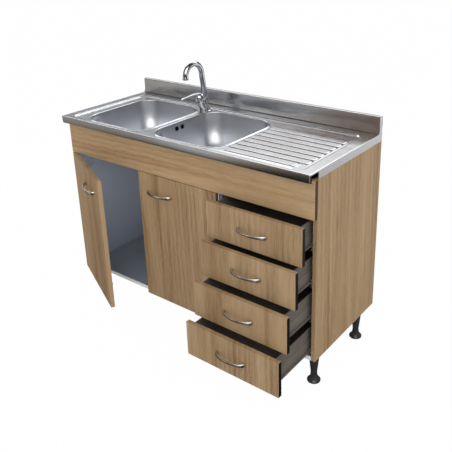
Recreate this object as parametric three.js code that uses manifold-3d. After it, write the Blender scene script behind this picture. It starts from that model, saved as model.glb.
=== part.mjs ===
// A 120 x 50 cm kitchen sink unit: stainless top with two bowls, a drainer and a mixer tap, on an
// oak-effect carcass with two doors and four drawers, standing on adjustable legs.
// Millimetres, +Z up, front towards -Y. The unit stands as in use: left door ajar, drawers pulled out.
import * as THREE from 'three';
import { mergeVertices } from 'three/addons/utils/BufferGeometryUtils.js';
import Module from 'manifold-3d';

const wasm = await Module();
wasm.setup();

// ---------------------------------------------------------------- driving dimensions
const UNIT_W = 1200;
const UNIT_D = 500;
const TOP_Z = 850; // worktop surface above the floor
const FIT = 0.3; // gap between pieces that touch
const HALF_W = UNIT_W / 2;

const BOARD = 16;
const FOOT_H = 130;
const CARCASS_FRONT = 50; // depths are measured back from the worktop's front edge
const CARCASS_BACK = 499;
const FACE = 32.5; // front face of the doors and closed drawers
const FASCIA_H = 137;
const PARTITION_X = 199; // centre of the partition, from the middle of the unit
const BACK_GROOVE = 487; // depth of the groove that holds the back board
const BACK_T = 3;
const GROOVE_DEEP = 6;
const RAIL_H = 80;

const EDGE_H = 30; // folded edge of the sink top
const SHEET = 1.2;
const BEND = 0.3; // folded corners draw their edges in by this much
const UPSTAND_H = 65;
const UPSTAND_T = 20;
const RIM_W = 45; // flat rim round the recessed pan
const PAN_DEEP = 4;
const PAN_BACK = 430;
const PAN_FRONT = 17;
const BOWL_W = 335;
const BOWL_D = 370;
const BOWL_DEEP = 150;
const BOWL_FRONT_IN = 21;
const BOWL_R = 80;
const BOWL_CENTRES = { left: -333.5, right: 34.5 };
const BOWL_Y = 217;
const DRAIN_R = 31;
const LIP_W = 8;
const DRAINER_X = [218, 542];
const DRAINER_Y = 61;
const DRAINER_PITCH = 39.5;
const DRAINER_RIDGES = 8;

const FRONT_GAP = 3;
const DOOR_W = 394;
const DOOR_LEFT_X = -598.5;
const DOOR_RIGHT_X = 192;
const DOOR_AJAR = 25.5; // degrees
const HINGE_Z = [230, 600];
const CUP_R = 17.5;
const CUP_DEEP = 11.5;
const CUP_IN = 22; // cup centre from the door's edge

const DRAWER_FRONT_W = 392.5;
const DRAWER_RIGHT_X = 598.5;
const DRAWER_OUT = [69, 108, 156, 204]; // top to bottom
const TRAY_H = 88;
const TRAY_L = 400;
const TRAY_DROP = 14; // tray rim below the front's top edge
const RUNNER_SPACE = 12.5;

const HANDLE_L = 127;
const HANDLE_OUT = 28;

const LEG_X = 564;
const LEG_Y = [107, 430];
const PAD_H = 34;

const TAP_X = -148;
const TAP_Y = 378;
const TAP_LEAN = THREE.MathUtils.degToRad(24);
const SPOUT_Y = 397;
const SPOUT_LEAN = THREE.MathUtils.degToRad(8);
const SPOUT_RISE = 170;
const SPOUT_BEND = 48.5;
const SPOUT_R = 11;

// ---------------------------------------------------------------- derived places
// The lowest drawer's handle stands this far in front of the worktop.
const FRONT_REACH = Math.max(...DRAWER_OUT) - FACE + FIT + HANDLE_OUT;
const CARCASS_TOP = TOP_Z - EDGE_H - FIT;
const INNER_X = HALF_W - BOARD;
const BOTTOM_TOP = FOOT_H + BOARD;
const FRONTS_TOP = TOP_Z - EDGE_H - FASCIA_H - 2;
const FRONTS_BOTTOM = FOOT_H + 1;
const FRONTS_H = FRONTS_TOP - FRONTS_BOTTOM;
const DRAWER_PITCH = (FRONTS_H + FRONT_GAP) / DRAWER_OUT.length;
const DRAWER_FRONT_H = DRAWER_PITCH - FRONT_GAP;
const PAN_Z = TOP_Z - PAN_DEEP;
const BOWL_TOP = PAN_Z - SHEET - FIT;
const BOWL_FLOOR = BOWL_TOP - BOWL_DEEP;

// ---------------------------------------------------------------- materials
const finish = (color, roughness, metalness = 0) =>
  new THREE.MeshStandardMaterial({ color, roughness, metalness });
const oak = finish(0xa98c68, 0.6);
const greyBoard = finish(0x8b9099, 0.55);
const hardboard = finish(0xb9bcc2, 0.7);
const steel = finish(0xc9cbcc, 0.3, 1);
const chrome = finish(0xdedfe0, 0.08, 1);
const nickel = finish(0xb8b4ac, 0.28, 1);
const zinc = finish(0x9fa3a6, 0.4, 1);
const trayPlastic = finish(0x46464a, 0.45);
const legPlastic = finish(0x1b1d1f, 0.4);
const pipePlastic = finish(0xe6e6e2, 0.4);

// ---------------------------------------------------------------- geometry helpers
// Points that coincide are merged, empty triangles dropped and the faces turned outwards.
function closed(geometry) {
  const bare = geometry.index ? geometry.toNonIndexed() : geometry.clone();
  bare.deleteAttribute('normal');
  bare.deleteAttribute('uv');
  const merged = mergeVertices(bare, 1e-3);
  const vertex = (i) => new THREE.Vector3().fromBufferAttribute(merged.attributes.position, i);
  const index = [];
  let volume = 0;
  for (let i = 0; i < merged.index.count; i += 3) {
    const [a, b, c] = [0, 1, 2].map((k) => merged.index.getX(i + k));
    if (a === b || b === c || c === a) continue;
    index.push(a, b, c);
    volume += vertex(a).dot(vertex(b).cross(vertex(c)));
  }
  merged.setIndex(volume < 0 ? index.reverse() : index);
  return merged;
}

function solid(geometry) {
  const whole = closed(geometry);
  return new wasm.Manifold(new wasm.Mesh({
    numProp: 3,
    vertProperties: whole.attributes.position.array,
    triVerts: new Uint32Array(whole.index.array),
  }));
}

function geometryOf(made) {
  const mesh = made.getMesh();
  const geometry = new THREE.BufferGeometry();
  const corners = new Float32Array(mesh.vertProperties);
  geometry.setAttribute('position', new THREE.BufferAttribute(corners, 3));
  return geometry.setIndex(new THREE.BufferAttribute(new Uint32Array(mesh.triVerts), 1));
}

const join = (...pieces) => geometryOf(pieces.map(solid).reduce((a, b) => a.add(b)));
const cut = (body, ...tools) => geometryOf(tools.map(solid).reduce((a, b) => a.subtract(b), solid(body)));

function box(x0, x1, y0, y1, z0, z1) {
  const geometry = new THREE.BoxGeometry(x1 - x0, y1 - y0, z1 - z0);
  return geometry.translate((x0 + x1) / 2, (y0 + y1) / 2, (z0 + z1) / 2);
}

// A plate on an outline in plan, with openings, from z0 to z1.
function plate(outline, openings, z0, z1) {
  const shape = new THREE.Shape(outline.map(([x, y]) => new THREE.Vector2(x, y)));
  for (const ring of openings) {
    shape.holes.push(new THREE.Path(ring.map((p) => new THREE.Vector2(p.x, p.y))));
  }
  const options = { depth: z1 - z0, bevelEnabled: false };
  return new THREE.ExtrudeGeometry(shape, options).translate(0, 0, z0);
}

const prism = (outline, z0, z1) => plate(outline, [], z0, z1);

// A section in the (y, z) plane run along X from x0 to x1.
function runX(section, x0, x1) {
  return prism(section, 0, x1 - x0)
    .applyMatrix4(new THREE.Matrix4().makeBasis(
      new THREE.Vector3(0, 1, 0), new THREE.Vector3(0, 0, 1), new THREE.Vector3(1, 0, 0)))
    .translate(x0, 0, 0);
}

// A section in the (x, z) plane run along Y from y0 to y1.
function runY(section, y0, y1) {
  return prism(section, 0, y1 - y0)
    .applyMatrix4(new THREE.Matrix4().makeBasis(
      new THREE.Vector3(1, 0, 0), new THREE.Vector3(0, 0, 1), new THREE.Vector3(0, -1, 0)))
    .translate(0, y1, 0);
}

// A turned piece about +Z from its [radius, z] profile.
function turned(profile, segments = 24) {
  const geometry = new THREE.LatheGeometry(profile.map(([r, z]) => new THREE.Vector2(r, z)), segments);
  return geometry.rotateX(Math.PI / 2);
}

function rod(radius, z0, z1, segments = 16) {
  return turned([[0, z0], [radius, z0], [radius, z1], [0, z1]], segments);
}

// Points of a rounded rectangle, anticlockwise, with the same count for every size.
function roundedRing(width, depth, radius, z, { cx = 0, cy = 0, steps = 4 } = {}) {
  const points = [];
  const r = Math.min(radius, width / 2, depth / 2);
  for (let corner = 0; corner < 4; corner++) {
    const sx = corner === 0 || corner === 3 ? 1 : -1;
    const sy = corner < 2 ? 1 : -1;
    for (let i = 0; i <= steps; i++) {
      const angle = (corner + i / steps) * Math.PI / 2;
      const x = cx + sx * (width / 2 - r) + r * Math.cos(angle);
      const y = cy + sy * (depth / 2 - r) + r * Math.sin(angle);
      points.push(new THREE.Vector3(x, y, z));
    }
  }
  return points;
}

// A skin over rings of equal count. Looped, the last ring joins the first; otherwise both ends close.
function skin(rings, looped = false) {
  const count = rings[0].length;
  const vertices = rings.flat().flatMap((p) => [p.x, p.y, p.z]);
  const index = [];
  const bands = looped ? rings.length : rings.length - 1;
  for (let k = 0; k < bands; k++) {
    const a = k * count;
    const b = ((k + 1) % rings.length) * count;
    for (let i = 0; i < count; i++) {
      const j = (i + 1) % count;
      index.push(a + i, a + j, b + j, a + i, b + j, b + i);
    }
  }
  if (!looped) {
    for (const [k, flip] of [[0, true], [rings.length - 1, false]]) {
      const centre = rings[k].reduce((sum, p) => sum.add(p), new THREE.Vector3()).divideScalar(count);
      const hub = vertices.length / 3;
      vertices.push(centre.x, centre.y, centre.z);
      for (let i = 0; i < count; i++) {
        const j = (i + 1) % count;
        index.push(hub, ...(flip ? [k * count + j, k * count + i] : [k * count + i, k * count + j]));
      }
    }
  }
  const geometry = new THREE.BufferGeometry();
  geometry.setAttribute('position', new THREE.Float32BufferAttribute(vertices, 3));
  geometry.setIndex(index);
  return geometry;
}

// Round rings along a path; radii may differ from point to point. It starts at the first point.
function ringsAlong(path, radii, sides = 16, up = new THREE.Vector3(1, 0, 0)) {
  return path.map((point, k) => {
    const before = path[Math.max(k - 1, 0)];
    const after = path[Math.min(k + 1, path.length - 1)];
    const along = after.clone().sub(before).normalize();
    const side = up.clone().addScaledVector(along, -up.dot(along)).normalize();
    const across = along.clone().cross(side);
    const radius = Array.isArray(radii) ? radii[k] : radii;
    return Array.from({ length: sides }, (_, i) => {
      const angle = i / sides * 2 * Math.PI;
      return point.clone()
        .addScaledVector(side, radius * Math.cos(angle))
        .addScaledVector(across, radius * Math.sin(angle));
    });
  });
}

const pipe = (path, radius, sides = 14) => skin(ringsAlong(path, radius, sides, new THREE.Vector3(0, 1, 0)));
const arc = (from, to, steps, at) =>
  Array.from({ length: steps + 1 }, (_, i) => at(THREE.MathUtils.degToRad(from + (to - from) * i / steps)));

// ---------------------------------------------------------------- assembly
const unit = new THREE.Group();
unit.position.y = -(UNIT_D - FRONT_REACH) / 2; // origin: floor, under the centre of the overall box

function add(name, geometry, material, parent = unit) {
  const faceted = closed(geometry).toNonIndexed();
  faceted.computeVertexNormals();
  const mesh = new THREE.Mesh(faceted, material);
  mesh.name = name;
  parent.add(mesh);
  return mesh;
}

// ---------------------------------------------------------------- carcass
// Side panel: full board with the back board's groove run down its inner face.
function sidePanel(side) {
  const inner = side * INNER_X;
  const outer = side * HALF_W;
  const groove = side * (INNER_X + GROOVE_DEEP);
  const plan = [
    [outer, CARCASS_FRONT], [outer, CARCASS_BACK], [inner, CARCASS_BACK],
    [inner, BACK_GROOVE + BACK_T + 2 * FIT], [groove, BACK_GROOVE + BACK_T + 2 * FIT],
    [groove, BACK_GROOVE], [inner, BACK_GROOVE], [inner, CARCASS_FRONT],
  ];
  return prism(plan, FOOT_H, CARCASS_TOP);
}

function bottomPanel() {
  const half = INNER_X - FIT;
  const grooveEnd = BACK_GROOVE + BACK_T + 2 * FIT;
  return runX([
    [CARCASS_FRONT, FOOT_H], [CARCASS_BACK, FOOT_H], [CARCASS_BACK, BOTTOM_TOP],
    [grooveEnd, BOTTOM_TOP], [grooveEnd, BOTTOM_TOP - GROOVE_DEEP],
    [BACK_GROOVE, BOTTOM_TOP - GROOVE_DEEP], [BACK_GROOVE, BOTTOM_TOP], [CARCASS_FRONT, BOTTOM_TOP],
  ], -half, half);
}

// Partition: cut low in front, where the right bowl hangs over it, and notched behind for the rail.
function partitionPanel() {
  const back = BACK_GROOVE - FIT;
  const notchFront = back - BOARD - 2 * FIT;
  const notchBottom = CARCASS_TOP - RAIL_H - 2 * FIT;
  const underBowl = BOWL_FLOOR - 8;
  const behindBowl = BOWL_Y + BOWL_D / 2 + 12;
  return runX([
    [CARCASS_FRONT, BOTTOM_TOP + FIT], [back, BOTTOM_TOP + FIT], [back, notchBottom],
    [notchFront, notchBottom], [notchFront, CARCASS_TOP], [behindBowl, CARCASS_TOP],
    [behindBowl, underBowl], [CARCASS_FRONT, underBowl],
  ], PARTITION_X - BOARD / 2, PARTITION_X + BOARD / 2);
}

function rearRail() {
  const back = BACK_GROOVE - 2 * FIT;
  return box(-INNER_X + FIT, INNER_X - FIT, back - BOARD, back, CARCASS_TOP - RAIL_H, CARCASS_TOP);
}

// Back board with a service opening behind the bowls, for pipes and valves.
function backBoard() {
  const half = INNER_X + GROOVE_DEEP - FIT;
  const foot = BOTTOM_TOP - GROOVE_DEEP + FIT;
  const outline = [[-half, foot], [half, foot], [half, CARCASS_TOP], [-half, CARCASS_TOP]];
  const opening = roundedRing(420, 300, 6, 0, { cx: -150, cy: 480, steps: 1 });
  return plate(outline, [opening], 0, BACK_T)
    .rotateX(Math.PI / 2)
    .translate(0, BACK_GROOVE + BACK_T + FIT, 0);
}

add('side_panel_left', sidePanel(-1), oak);
add('side_panel_right', sidePanel(1), oak);
add('bottom_panel', bottomPanel(), greyBoard);
add('partition', partitionPanel(), greyBoard);
add('back_panel', backBoard(), hardboard);
add('rear_rail', rearRail(), greyBoard);
const FASCIA_Z = TOP_Z - EDGE_H - FASCIA_H;
add('fascia_panel', box(-HALF_W, HALF_W, FACE + 1, FACE + 1 + BOARD, FASCIA_Z, CARCASS_TOP), oak);

// ---------------------------------------------------------------- sink top
// The pan's outline, grown by an offset. Its front edge lies close behind the apron.
function panRing(grow, z) {
  const width = UNIT_W - 2 * RIM_W;
  const depth = PAN_BACK - PAN_FRONT;
  const cy = (PAN_BACK + PAN_FRONT) / 2;
  return roundedRing(width + 2 * grow, depth + 2 * grow, 30 + grow, z, { cy });
}

// A bowl's outline in plan; its front wall alone can be drawn in further.
function bowlRing(cx, grow, z, radius = BOWL_R, frontIn = 0) {
  const depth = BOWL_D + 2 * grow - frontIn;
  return roundedRing(BOWL_W + 2 * grow, depth, radius + grow, z, { cx, cy: BOWL_Y + frontIn / 2 });
}

// The raised bead round a bowl's opening.
function bowlLip(cx) {
  const under = 0.1 - SHEET;
  const profile = [[0, under], [6, under], [LIP_W, -0.3], [6, 1.5], [3.6, 2.4], [1.4, 1.8], [0, 0.4]];
  return skin(profile.map(([out, up]) => bowlRing(cx, out, PAN_Z + up)), true);
}

// One drainer ridge: a low wide swelling with tapered ends.
function drainerRidge(x0, x1, y) {
  const half = DRAINER_PITCH / 2 - 2.4;
  const high = 2.4;
  const crest = [[half * 0.85, high * 0.8], [0, high], [-half * 0.85, high * 0.8]];
  const outline = [[-half, -0.6], [half, -0.6], ...crest];
  const section = (x, scale) => outline.map(([dy, dz]) =>
    new THREE.Vector3(x, y + dy * (0.5 + 0.5 * scale), PAN_Z + (dz < 0 ? dz : dz * scale)));
  return skin([section(x0, 0.1), section(x0 + 12, 1), section(x1 - 12, 1), section(x1, 0.1)]);
}

function sinkTop() {
  const deckBack = UNIT_D - UPSTAND_T;
  const end = HALF_W - BEND;
  const rim = plate(
    [[-end, 0], [end, 0], [end, deckBack + SHEET / 2], [-end, deckBack + SHEET / 2]],
    [panRing(2.5, 0)], TOP_Z - SHEET, TOP_Z);
  const tapHole = roundedRing(35, 35, 17.5, 0, { cx: TAP_X, cy: TAP_Y });
  const openings = Object.values(BOWL_CENTRES).map((cx) => bowlRing(cx, 4, 0));
  const pan = plate(panRing(-2.5, 0).map((p) => [p.x, p.y]), [...openings, tapHole], PAN_Z - SHEET, PAN_Z);
  // The step from the rim down to the pan, a pressed slope that stands a hair proud of both.
  const proud = 0.1;
  const under = SHEET + 0.15;
  const step = skin([
    panRing(1.6, TOP_Z + proud), panRing(4, TOP_Z + proud), panRing(4, TOP_Z - under),
    panRing(-0.6, PAN_Z - under), panRing(-4, PAN_Z - under),
    panRing(-4, PAN_Z + proud), panRing(-1.2, PAN_Z + proud),
  ], true);
  const hem = TOP_Z - EDGE_H;
  const apron = runX([
    [0, hem], [12, hem], [12, hem + SHEET], [SHEET, hem + SHEET],
    [SHEET, TOP_Z - SHEET / 2], [0, TOP_Z - SHEET / 2],
  ], -end + BEND, end - BEND);
  const upstandTop = TOP_Z + UPSTAND_H;
  const upstand = runX([
    [deckBack, TOP_Z - SHEET / 2], [deckBack + SHEET, TOP_Z - SHEET / 2],
    [deckBack + SHEET, upstandTop - SHEET], [UNIT_D - SHEET, upstandTop - SHEET],
    [UNIT_D - SHEET, hem + BEND], [UNIT_D, hem + BEND],
    [UNIT_D, upstandTop], [deckBack, upstandTop],
  ], -end, end);
  // Each end flange sweeps up in a small curve to close the end of the upstand.
  const sweep = 14;
  const flangeBack = UNIT_D - SHEET / 2;
  const flangeRise = deckBack + SHEET / 2;
  const flangeTop = TOP_Z - SHEET / 2;
  const curve = (a) =>
    [flangeRise - sweep + sweep * Math.cos(a), flangeTop + sweep + sweep * Math.sin(a)];
  const flangeSection = [
    [CARCASS_FRONT + 2, hem], [flangeBack, hem], [flangeBack, upstandTop - SHEET / 2],
    [flangeRise, upstandTop - SHEET / 2], ...arc(0, -90, 4, curve), [CARCASS_FRONT + 2, flangeTop],
  ];
  const flanges = [-HALF_W, HALF_W - SHEET].map((x) => runX(flangeSection, x, x + SHEET));
  const lips = Object.values(BOWL_CENTRES).map(bowlLip);
  const ridges = [];
  for (let i = 0; i < DRAINER_RIDGES; i++) {
    ridges.push(drainerRidge(DRAINER_X[0], DRAINER_X[1], DRAINER_Y + DRAINER_PITCH * i));
  }
  return join(rim, pan, step, apron, upstand, ...flanges, ...lips, ...ridges);
}

// A pressed bowl: rim flange under the pan, drawn-in walls, soft floor and a round drain seat.
// Its front wall steps back below the flange, to clear the fascia board.
function bowl(cx, withOverflow) {
  const lower = (grow, z, radius) => bowlRing(cx, grow, z, radius, BOWL_FRONT_IN);
  const round = (r, z) => roundedRing(2 * r, 2 * r, r, z, { cx, cy: BOWL_Y });
  const floor = BOWL_FLOOR;
  const shoulder = TOP_Z - EDGE_H + 3;
  const shell = skin([
    bowlRing(cx, 3.5, BOWL_TOP), bowlRing(cx, 0, BOWL_TOP - 2, BOWL_R, 1), lower(-2, shoulder),
    lower(-6, floor + 60), lower(-14, floor + 24, 84), lower(-26, floor + 8, 90), lower(-44, floor + 2, 90),
    round(60, floor), round(46, floor - 1.5), round(DRAIN_R, floor - 3),
    round(DRAIN_R, floor - 3 - SHEET), round(47, floor - 1.5 - SHEET), round(61, floor - SHEET),
    lower(-43.5, floor + 2 - SHEET, 90), lower(-25, floor + 8 - SHEET, 90), lower(-12.8, floor + 24, 84),
    lower(-4.8, floor + 60), lower(-0.8, shoulder), bowlRing(cx, 1.2, BOWL_TOP - 3.4, BOWL_R, 1),
    bowlRing(cx, LIP_W, BOWL_TOP - SHEET), bowlRing(cx, LIP_W, BOWL_TOP),
  ], true);
  if (!withOverflow) return shell;
  const wallX = cx - BOWL_W / 2;
  const slots = [192, 224].map((y) =>
    box(wallX - 8, wallX + 12, y - 10, y + 10, BOWL_TOP - 30, BOWL_TOP - 13));
  return cut(shell, ...slots);
}

add('sink_top', sinkTop(), steel);
add('bowl_left', bowl(BOWL_CENTRES.left, false), steel);
add('bowl_right', bowl(BOWL_CENTRES.right, true), steel);

// ---------------------------------------------------------------- wastes, trap and overflow
const SEAT = BOWL_FLOOR - 3 + FIT; // underside of a waste's flange, on the bowl's drain seat
const TAIL_END = BOWL_FLOOR - 48;

// Strainer waste: dished flange, perforated grid, threaded body, back nut and tail pipe.
function strainerWaste(cx) {
  const body = turned([
    [17, TAIL_END], [20, TAIL_END], [20, SEAT - 24], [29, SEAT - 20], [29, SEAT - 9], [39, SEAT - 9],
    [39, SEAT - 2], [30, SEAT - 2], [30, SEAT], [43, SEAT + 1.4], [43, SEAT + 2.6], [37, SEAT + 2.4],
    [30, SEAT + 1.2], [27, SEAT - 1.5], [27, SEAT - 18], [17, SEAT - 22], [17, TAIL_END],
  ], 12);
  const grid = rod(28, SEAT - 9, SEAT - 7, 12);
  const holes = [];
  for (const x of [-17, 3]) {
    for (const y of [-17, 3]) {
      holes.push(box(x, x + 14, y, y + 14, SEAT - 12, SEAT - 4));
    }
  }
  return join(body, cut(grid, ...holes)).translate(cx, BOWL_Y, 0);
}

const PIPE_Z = 611;
const TRAP_X = (BOWL_CENTRES.left + BOWL_CENTRES.right) / 2;
const CORNER_R = 26;

// The pipe under the bowls: two elbows up to the wastes and a tee down to the trap, all one bore.
function crossPipe(outer, inner) {
  const reach = (radius, extra) => {
    const turn = (cx, side) => arc(0, 90, 3, (a) => new THREE.Vector3(
      cx + side * CORNER_R * (1 - Math.cos(a)), BOWL_Y, PIPE_Z + CORNER_R - CORNER_R * Math.sin(a)));
    const top = TAIL_END - FIT + extra;
    const path = [
      new THREE.Vector3(BOWL_CENTRES.left, BOWL_Y, top), ...turn(BOWL_CENTRES.left, 1),
      ...turn(BOWL_CENTRES.right, -1).reverse(), new THREE.Vector3(BOWL_CENTRES.right, BOWL_Y, top),
    ];
    return pipe(path, radius, 12);
  };
  const drop = (radius, extra) => rod(radius, 571 - extra, PIPE_Z, 12).translate(TRAP_X, BOWL_Y, 0);
  const nuts = Object.values(BOWL_CENTRES).map((cx) =>
    rod(26, TAIL_END - 22, TAIL_END - FIT, 12).translate(cx, BOWL_Y, 0));
  const outside = join(reach(outer, 0), drop(outer, 0), ...nuts);
  return cut(outside, reach(inner, 5), drop(inner, 5));
}

// Bottle trap: collar, inlet neck, body with a screwed cup, and the outlet through the back opening.
function bottleTrap() {
  const body = turned([
    [0, 440], [22, 440], [30, 446], [33, 450], [33, 476], [30, 478], [30, 540], [26, 546],
    [26, 570.5], [17, 570.5], [17, 470], [0, 470],
  ], 12).translate(TRAP_X, BOWL_Y, 0);
  const outletLength = UNIT_D - 3 - BOWL_Y;
  const outlet = rod(20, 0, outletLength, 16).rotateX(-Math.PI / 2).translate(TRAP_X, BOWL_Y, 520);
  const bore = rod(17, 10, outletLength + 5, 16).rotateX(-Math.PI / 2).translate(TRAP_X, BOWL_Y, 520);
  return cut(join(body, outlet), bore);
}

// Overflow duct: a shallow box on the bowl wall's outer face, and a rigid pipe down between the bowls.
function overflowDuct() {
  const wallX = BOWL_CENTRES.right - BOWL_W / 2;
  const x = wallX - 17;
  const hood = box(x - 9, wallX - 1.6, 178, 238, BOWL_TOP - 36, BOWL_TOP - 7);
  const hollow = box(x - 6, wallX + 2, 181, 235, BOWL_TOP - 33, BOWL_TOP - 10);
  const down = [
    new THREE.Vector3(x, 208, BOWL_TOP - 30), new THREE.Vector3(x, 208, BOWL_FLOOR - 16),
    new THREE.Vector3(x + 6, 209, BOWL_FLOOR - 30), new THREE.Vector3(x + 20, 212, BOWL_FLOOR - 37),
    new THREE.Vector3(BOWL_CENTRES.right - 22, BOWL_Y, BOWL_FLOOR - 37),
  ];
  return cut(join(hood, pipe(down, 8.5, 12)), hollow, pipe(down, 6.5, 12));
}

add('waste_left', strainerWaste(BOWL_CENTRES.left), steel);
add('waste_right', strainerWaste(BOWL_CENTRES.right), steel);
add('cross_pipe', crossPipe(20, 17), pipePlastic);
add('bottle_trap', bottleTrap(), pipePlastic);
add('overflow_duct', overflowDuct(), pipePlastic);

// ---------------------------------------------------------------- mixer tap
// The tap is built on its own origin at deck level and leans towards the user.
const tap = new THREE.Group();
tap.position.set(TAP_X, TAP_Y, PAN_Z + FIT);
unit.add(tap);

const LEAN_START = 8; // the body stands upright up to here, then leans
const DOME_R = 19.6;
const SADDLE_T = 2.4;
const SPOUT_WALL = 2;
const SPOUT_START = 60.5;
const alongLean = (s) => new THREE.Vector3(0, -Math.sin(TAP_LEAN) * s, LEAN_START + Math.cos(TAP_LEAN) * s);
const BODY_TOP = alongLean(50);
const HUB = alongLean(60); // centre of the cap's dome
const alongSpout = (s) =>
  new THREE.Vector3(0, SPOUT_Y - TAP_Y - Math.sin(SPOUT_LEAN) * s, Math.cos(SPOUT_LEAN) * s);

const leaning = (geometry, at) => geometry.rotateX(TAP_LEAN).translate(at.x, at.y, at.z);
const levelCircle = (r, y, z) => roundedRing(2 * r, 2 * r, r, z, { cy: y });

// One casting: oval foot, leaning column, socket for the spout and the shank through the deck.
function tapBody() {
  const xAxis = new THREE.Vector3(1, 0, 0);
  const leanTop = levelCircle(20, 0, 0).map((p) => p.applyAxisAngle(xAxis, TAP_LEAN).add(BODY_TOP));
  const column = skin([levelCircle(20, 0, 0), levelCircle(19.5, -1, 9), levelCircle(19.5, -8, 26), leanTop]);
  const oval = (grow, z) => roundedRing(48 + 2 * grow, 54 + 2 * grow, 24 + grow, z, { cy: 10 });
  const foot = skin([oval(0, 0), oval(0, 3.5), oval(-2.5, 6)]);
  const socketPath = [4, 24, 40, SPOUT_START - 0.4].map(alongSpout);
  const socket = skin(ringsAlong(socketPath, [15, 14, 13, 12], 20));
  const shank = rod(16, -42, 2, 20);
  return join(column, foot, socket, shank);
}

// Swan neck: a leaning riser, a half circle and a thicker ring at the outlet, with its bore all through.
function tapSpout() {
  const riserTop = alongSpout(SPOUT_RISE);
  const centreY = riserTop.y - SPOUT_BEND * Math.cos(SPOUT_LEAN);
  const centreZ = riserTop.z - SPOUT_BEND * Math.sin(SPOUT_LEAN);
  const bow = arc(8, 180, 10, (a) =>
    new THREE.Vector3(0, centreY + SPOUT_BEND * Math.cos(a), centreZ + SPOUT_BEND * Math.sin(a)));
  const outlet = (drop) => new THREE.Vector3(0, centreY - SPOUT_BEND, centreZ - drop);
  const path = [alongSpout(SPOUT_START), ...bow, outlet(1), outlet(1.5), outlet(8)];
  const radii = path.map((_, i) => (i < path.length - 2 ? SPOUT_R : SPOUT_R + 0.8));
  const bore = [path[0], ...bow, path.at(-1)];
  const inner = ringsAlong(bore, SPOUT_R - SPOUT_WALL, 14).reverse();
  return skin([...ringsAlong(path, radii, 14), ...inner], true);
}

// Cap: a ball on a short neck, over which the lever's saddle slides.
function tapCap() {
  const ball = arc(-25, 75, 6, (a) => [DOME_R * Math.cos(a), DOME_R * Math.sin(a)]);
  return leaning(turned([[0, -9.6], [ball[0][0], -9.6], ...ball, [0, DOME_R]], 20), HUB);
}

// Lever: a domed saddle over the cap, and a tapered blade reaching forward.
function tapLever() {
  const inner = DOME_R + 0.5;
  const outer = inner + SADDLE_T;
  const outside = arc(6, 76, 5, (a) => [outer * Math.cos(a), outer * Math.sin(a)]);
  const inside = arc(76, 6, 5, (a) => [inner * Math.cos(a), inner * Math.sin(a)]);
  const saddle = leaning(turned([...outside, [0, outer], [0, inner], ...inside, outside[0]], 16), HUB);
  // Stations along the blade: distance in front of the hub, half width, thickness, height of its top.
  const stations = [
    [4, 10.5, 9, 21], [20, 10, 9.5, 26], [50, 9, 8.5, 24.5],
    [85, 7.5, 7, 21.5], [100, 6.5, 6, 19.5], [106, 4, 3, 17.5],
  ];
  const blade = skin(stations.map(([dy, halfW, thick, top]) =>
    roundedRing(2 * halfW, thick, thick / 2.2, 0, { steps: 3 })
      .map((p) => new THREE.Vector3(p.x, HUB.y - dy, HUB.z + top - thick / 2 + p.y))));
  const dome = new THREE.SphereGeometry((inner + outer) / 2, 16, 10).translate(HUB.x, HUB.y, HUB.z);
  return join(saddle, cut(blade, dome));
}

add('tap_body', tapBody(), chrome, tap);
add('tap_spout', tapSpout(), chrome, tap);
add('tap_cap', tapCap(), chrome, tap);
add('tap_lever', tapLever(), chrome, tap);

// Back nut on the shank, with its washer against the deck from below.
function tapNut() {
  const under = -SHEET - 2 * FIT;
  const nut = rod(22, under - 11, under - 3, 6);
  const washer = rod(19.5, under - 3, under, 20);
  return cut(join(nut, washer), rod(16 + FIT, -40, 10, 20));
}

add('tap_nut', tapNut(), zinc, tap);

// ---------------------------------------------------------------- handles
// Bow handle along X, its feet at z = 0 plane of the board: half an ellipse of oval section.
function bowHandle() {
  const half = HANDLE_L / 2 - 3;
  const rings = arc(0, 180, 10, (a) => {
    const swell = 0.75 + 0.25 * Math.sin(a);
    const centre = new THREE.Vector3(-half * Math.cos(a), -(HANDLE_OUT - 3) * Math.sin(a), 0);
    const along = new THREE.Vector3(half * Math.sin(a), -(HANDLE_OUT - 3) * Math.cos(a), 0).normalize();
    const across = new THREE.Vector3(-along.y, along.x, 0);
    return Array.from({ length: 8 }, (_, i) => {
      const t = i / 8 * 2 * Math.PI;
      return centre.clone()
        .addScaledVector(across, -3 * Math.cos(t))
        .add(new THREE.Vector3(0, 0, 5.5 * swell * Math.sin(t)));
    });
  });
  return skin(rings);
}

// ---------------------------------------------------------------- doors and hinges
// Door board in closed place on its hinge edge at x = 0, running to +X or -X, face at y = 0.
function doorBoard(side) {
  const x = side > 0 ? [0, DOOR_W] : [-DOOR_W, 0];
  const board = box(x[0], x[1], 0, BOARD, FRONTS_BOTTOM, FRONTS_TOP);
  const bores = HINGE_Z.map((z) => rod(CUP_R + 2 * FIT, 0, CUP_DEEP + 1, 12)
    .rotateX(-Math.PI / 2).translate(side * CUP_IN, BOARD - CUP_DEEP - 0.5, z));
  return cut(board, ...bores);
}

// Hinge cup: drawn steel cup with a flange and its two screw ears.
function hingeCup(side) {
  const cup = turned([
    [0, 0], [CUP_R, 0], [CUP_R, CUP_DEEP], [CUP_R - 1.5, CUP_DEEP], [CUP_R - 1.5, 1.2], [0, 1.2],
  ], 12);
  const ears = roundedRing(22, 58, 8, 0, { steps: 2 });
  const flange = plate(ears.map((p) => [p.x, p.y]), [], CUP_DEEP, CUP_DEEP + 1);
  const disc = rod(CUP_R + 2.5, CUP_DEEP, CUP_DEEP + 1, 12);
  const opening = rod(CUP_R - 1.5, 1.2, CUP_DEEP + 3, 12);
  const whole = join(cup, cut(join(flange, disc), opening));
  return whole.rotateX(-Math.PI / 2).translate(side * CUP_IN, BOARD - CUP_DEEP + FIT, 0);
}

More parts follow.
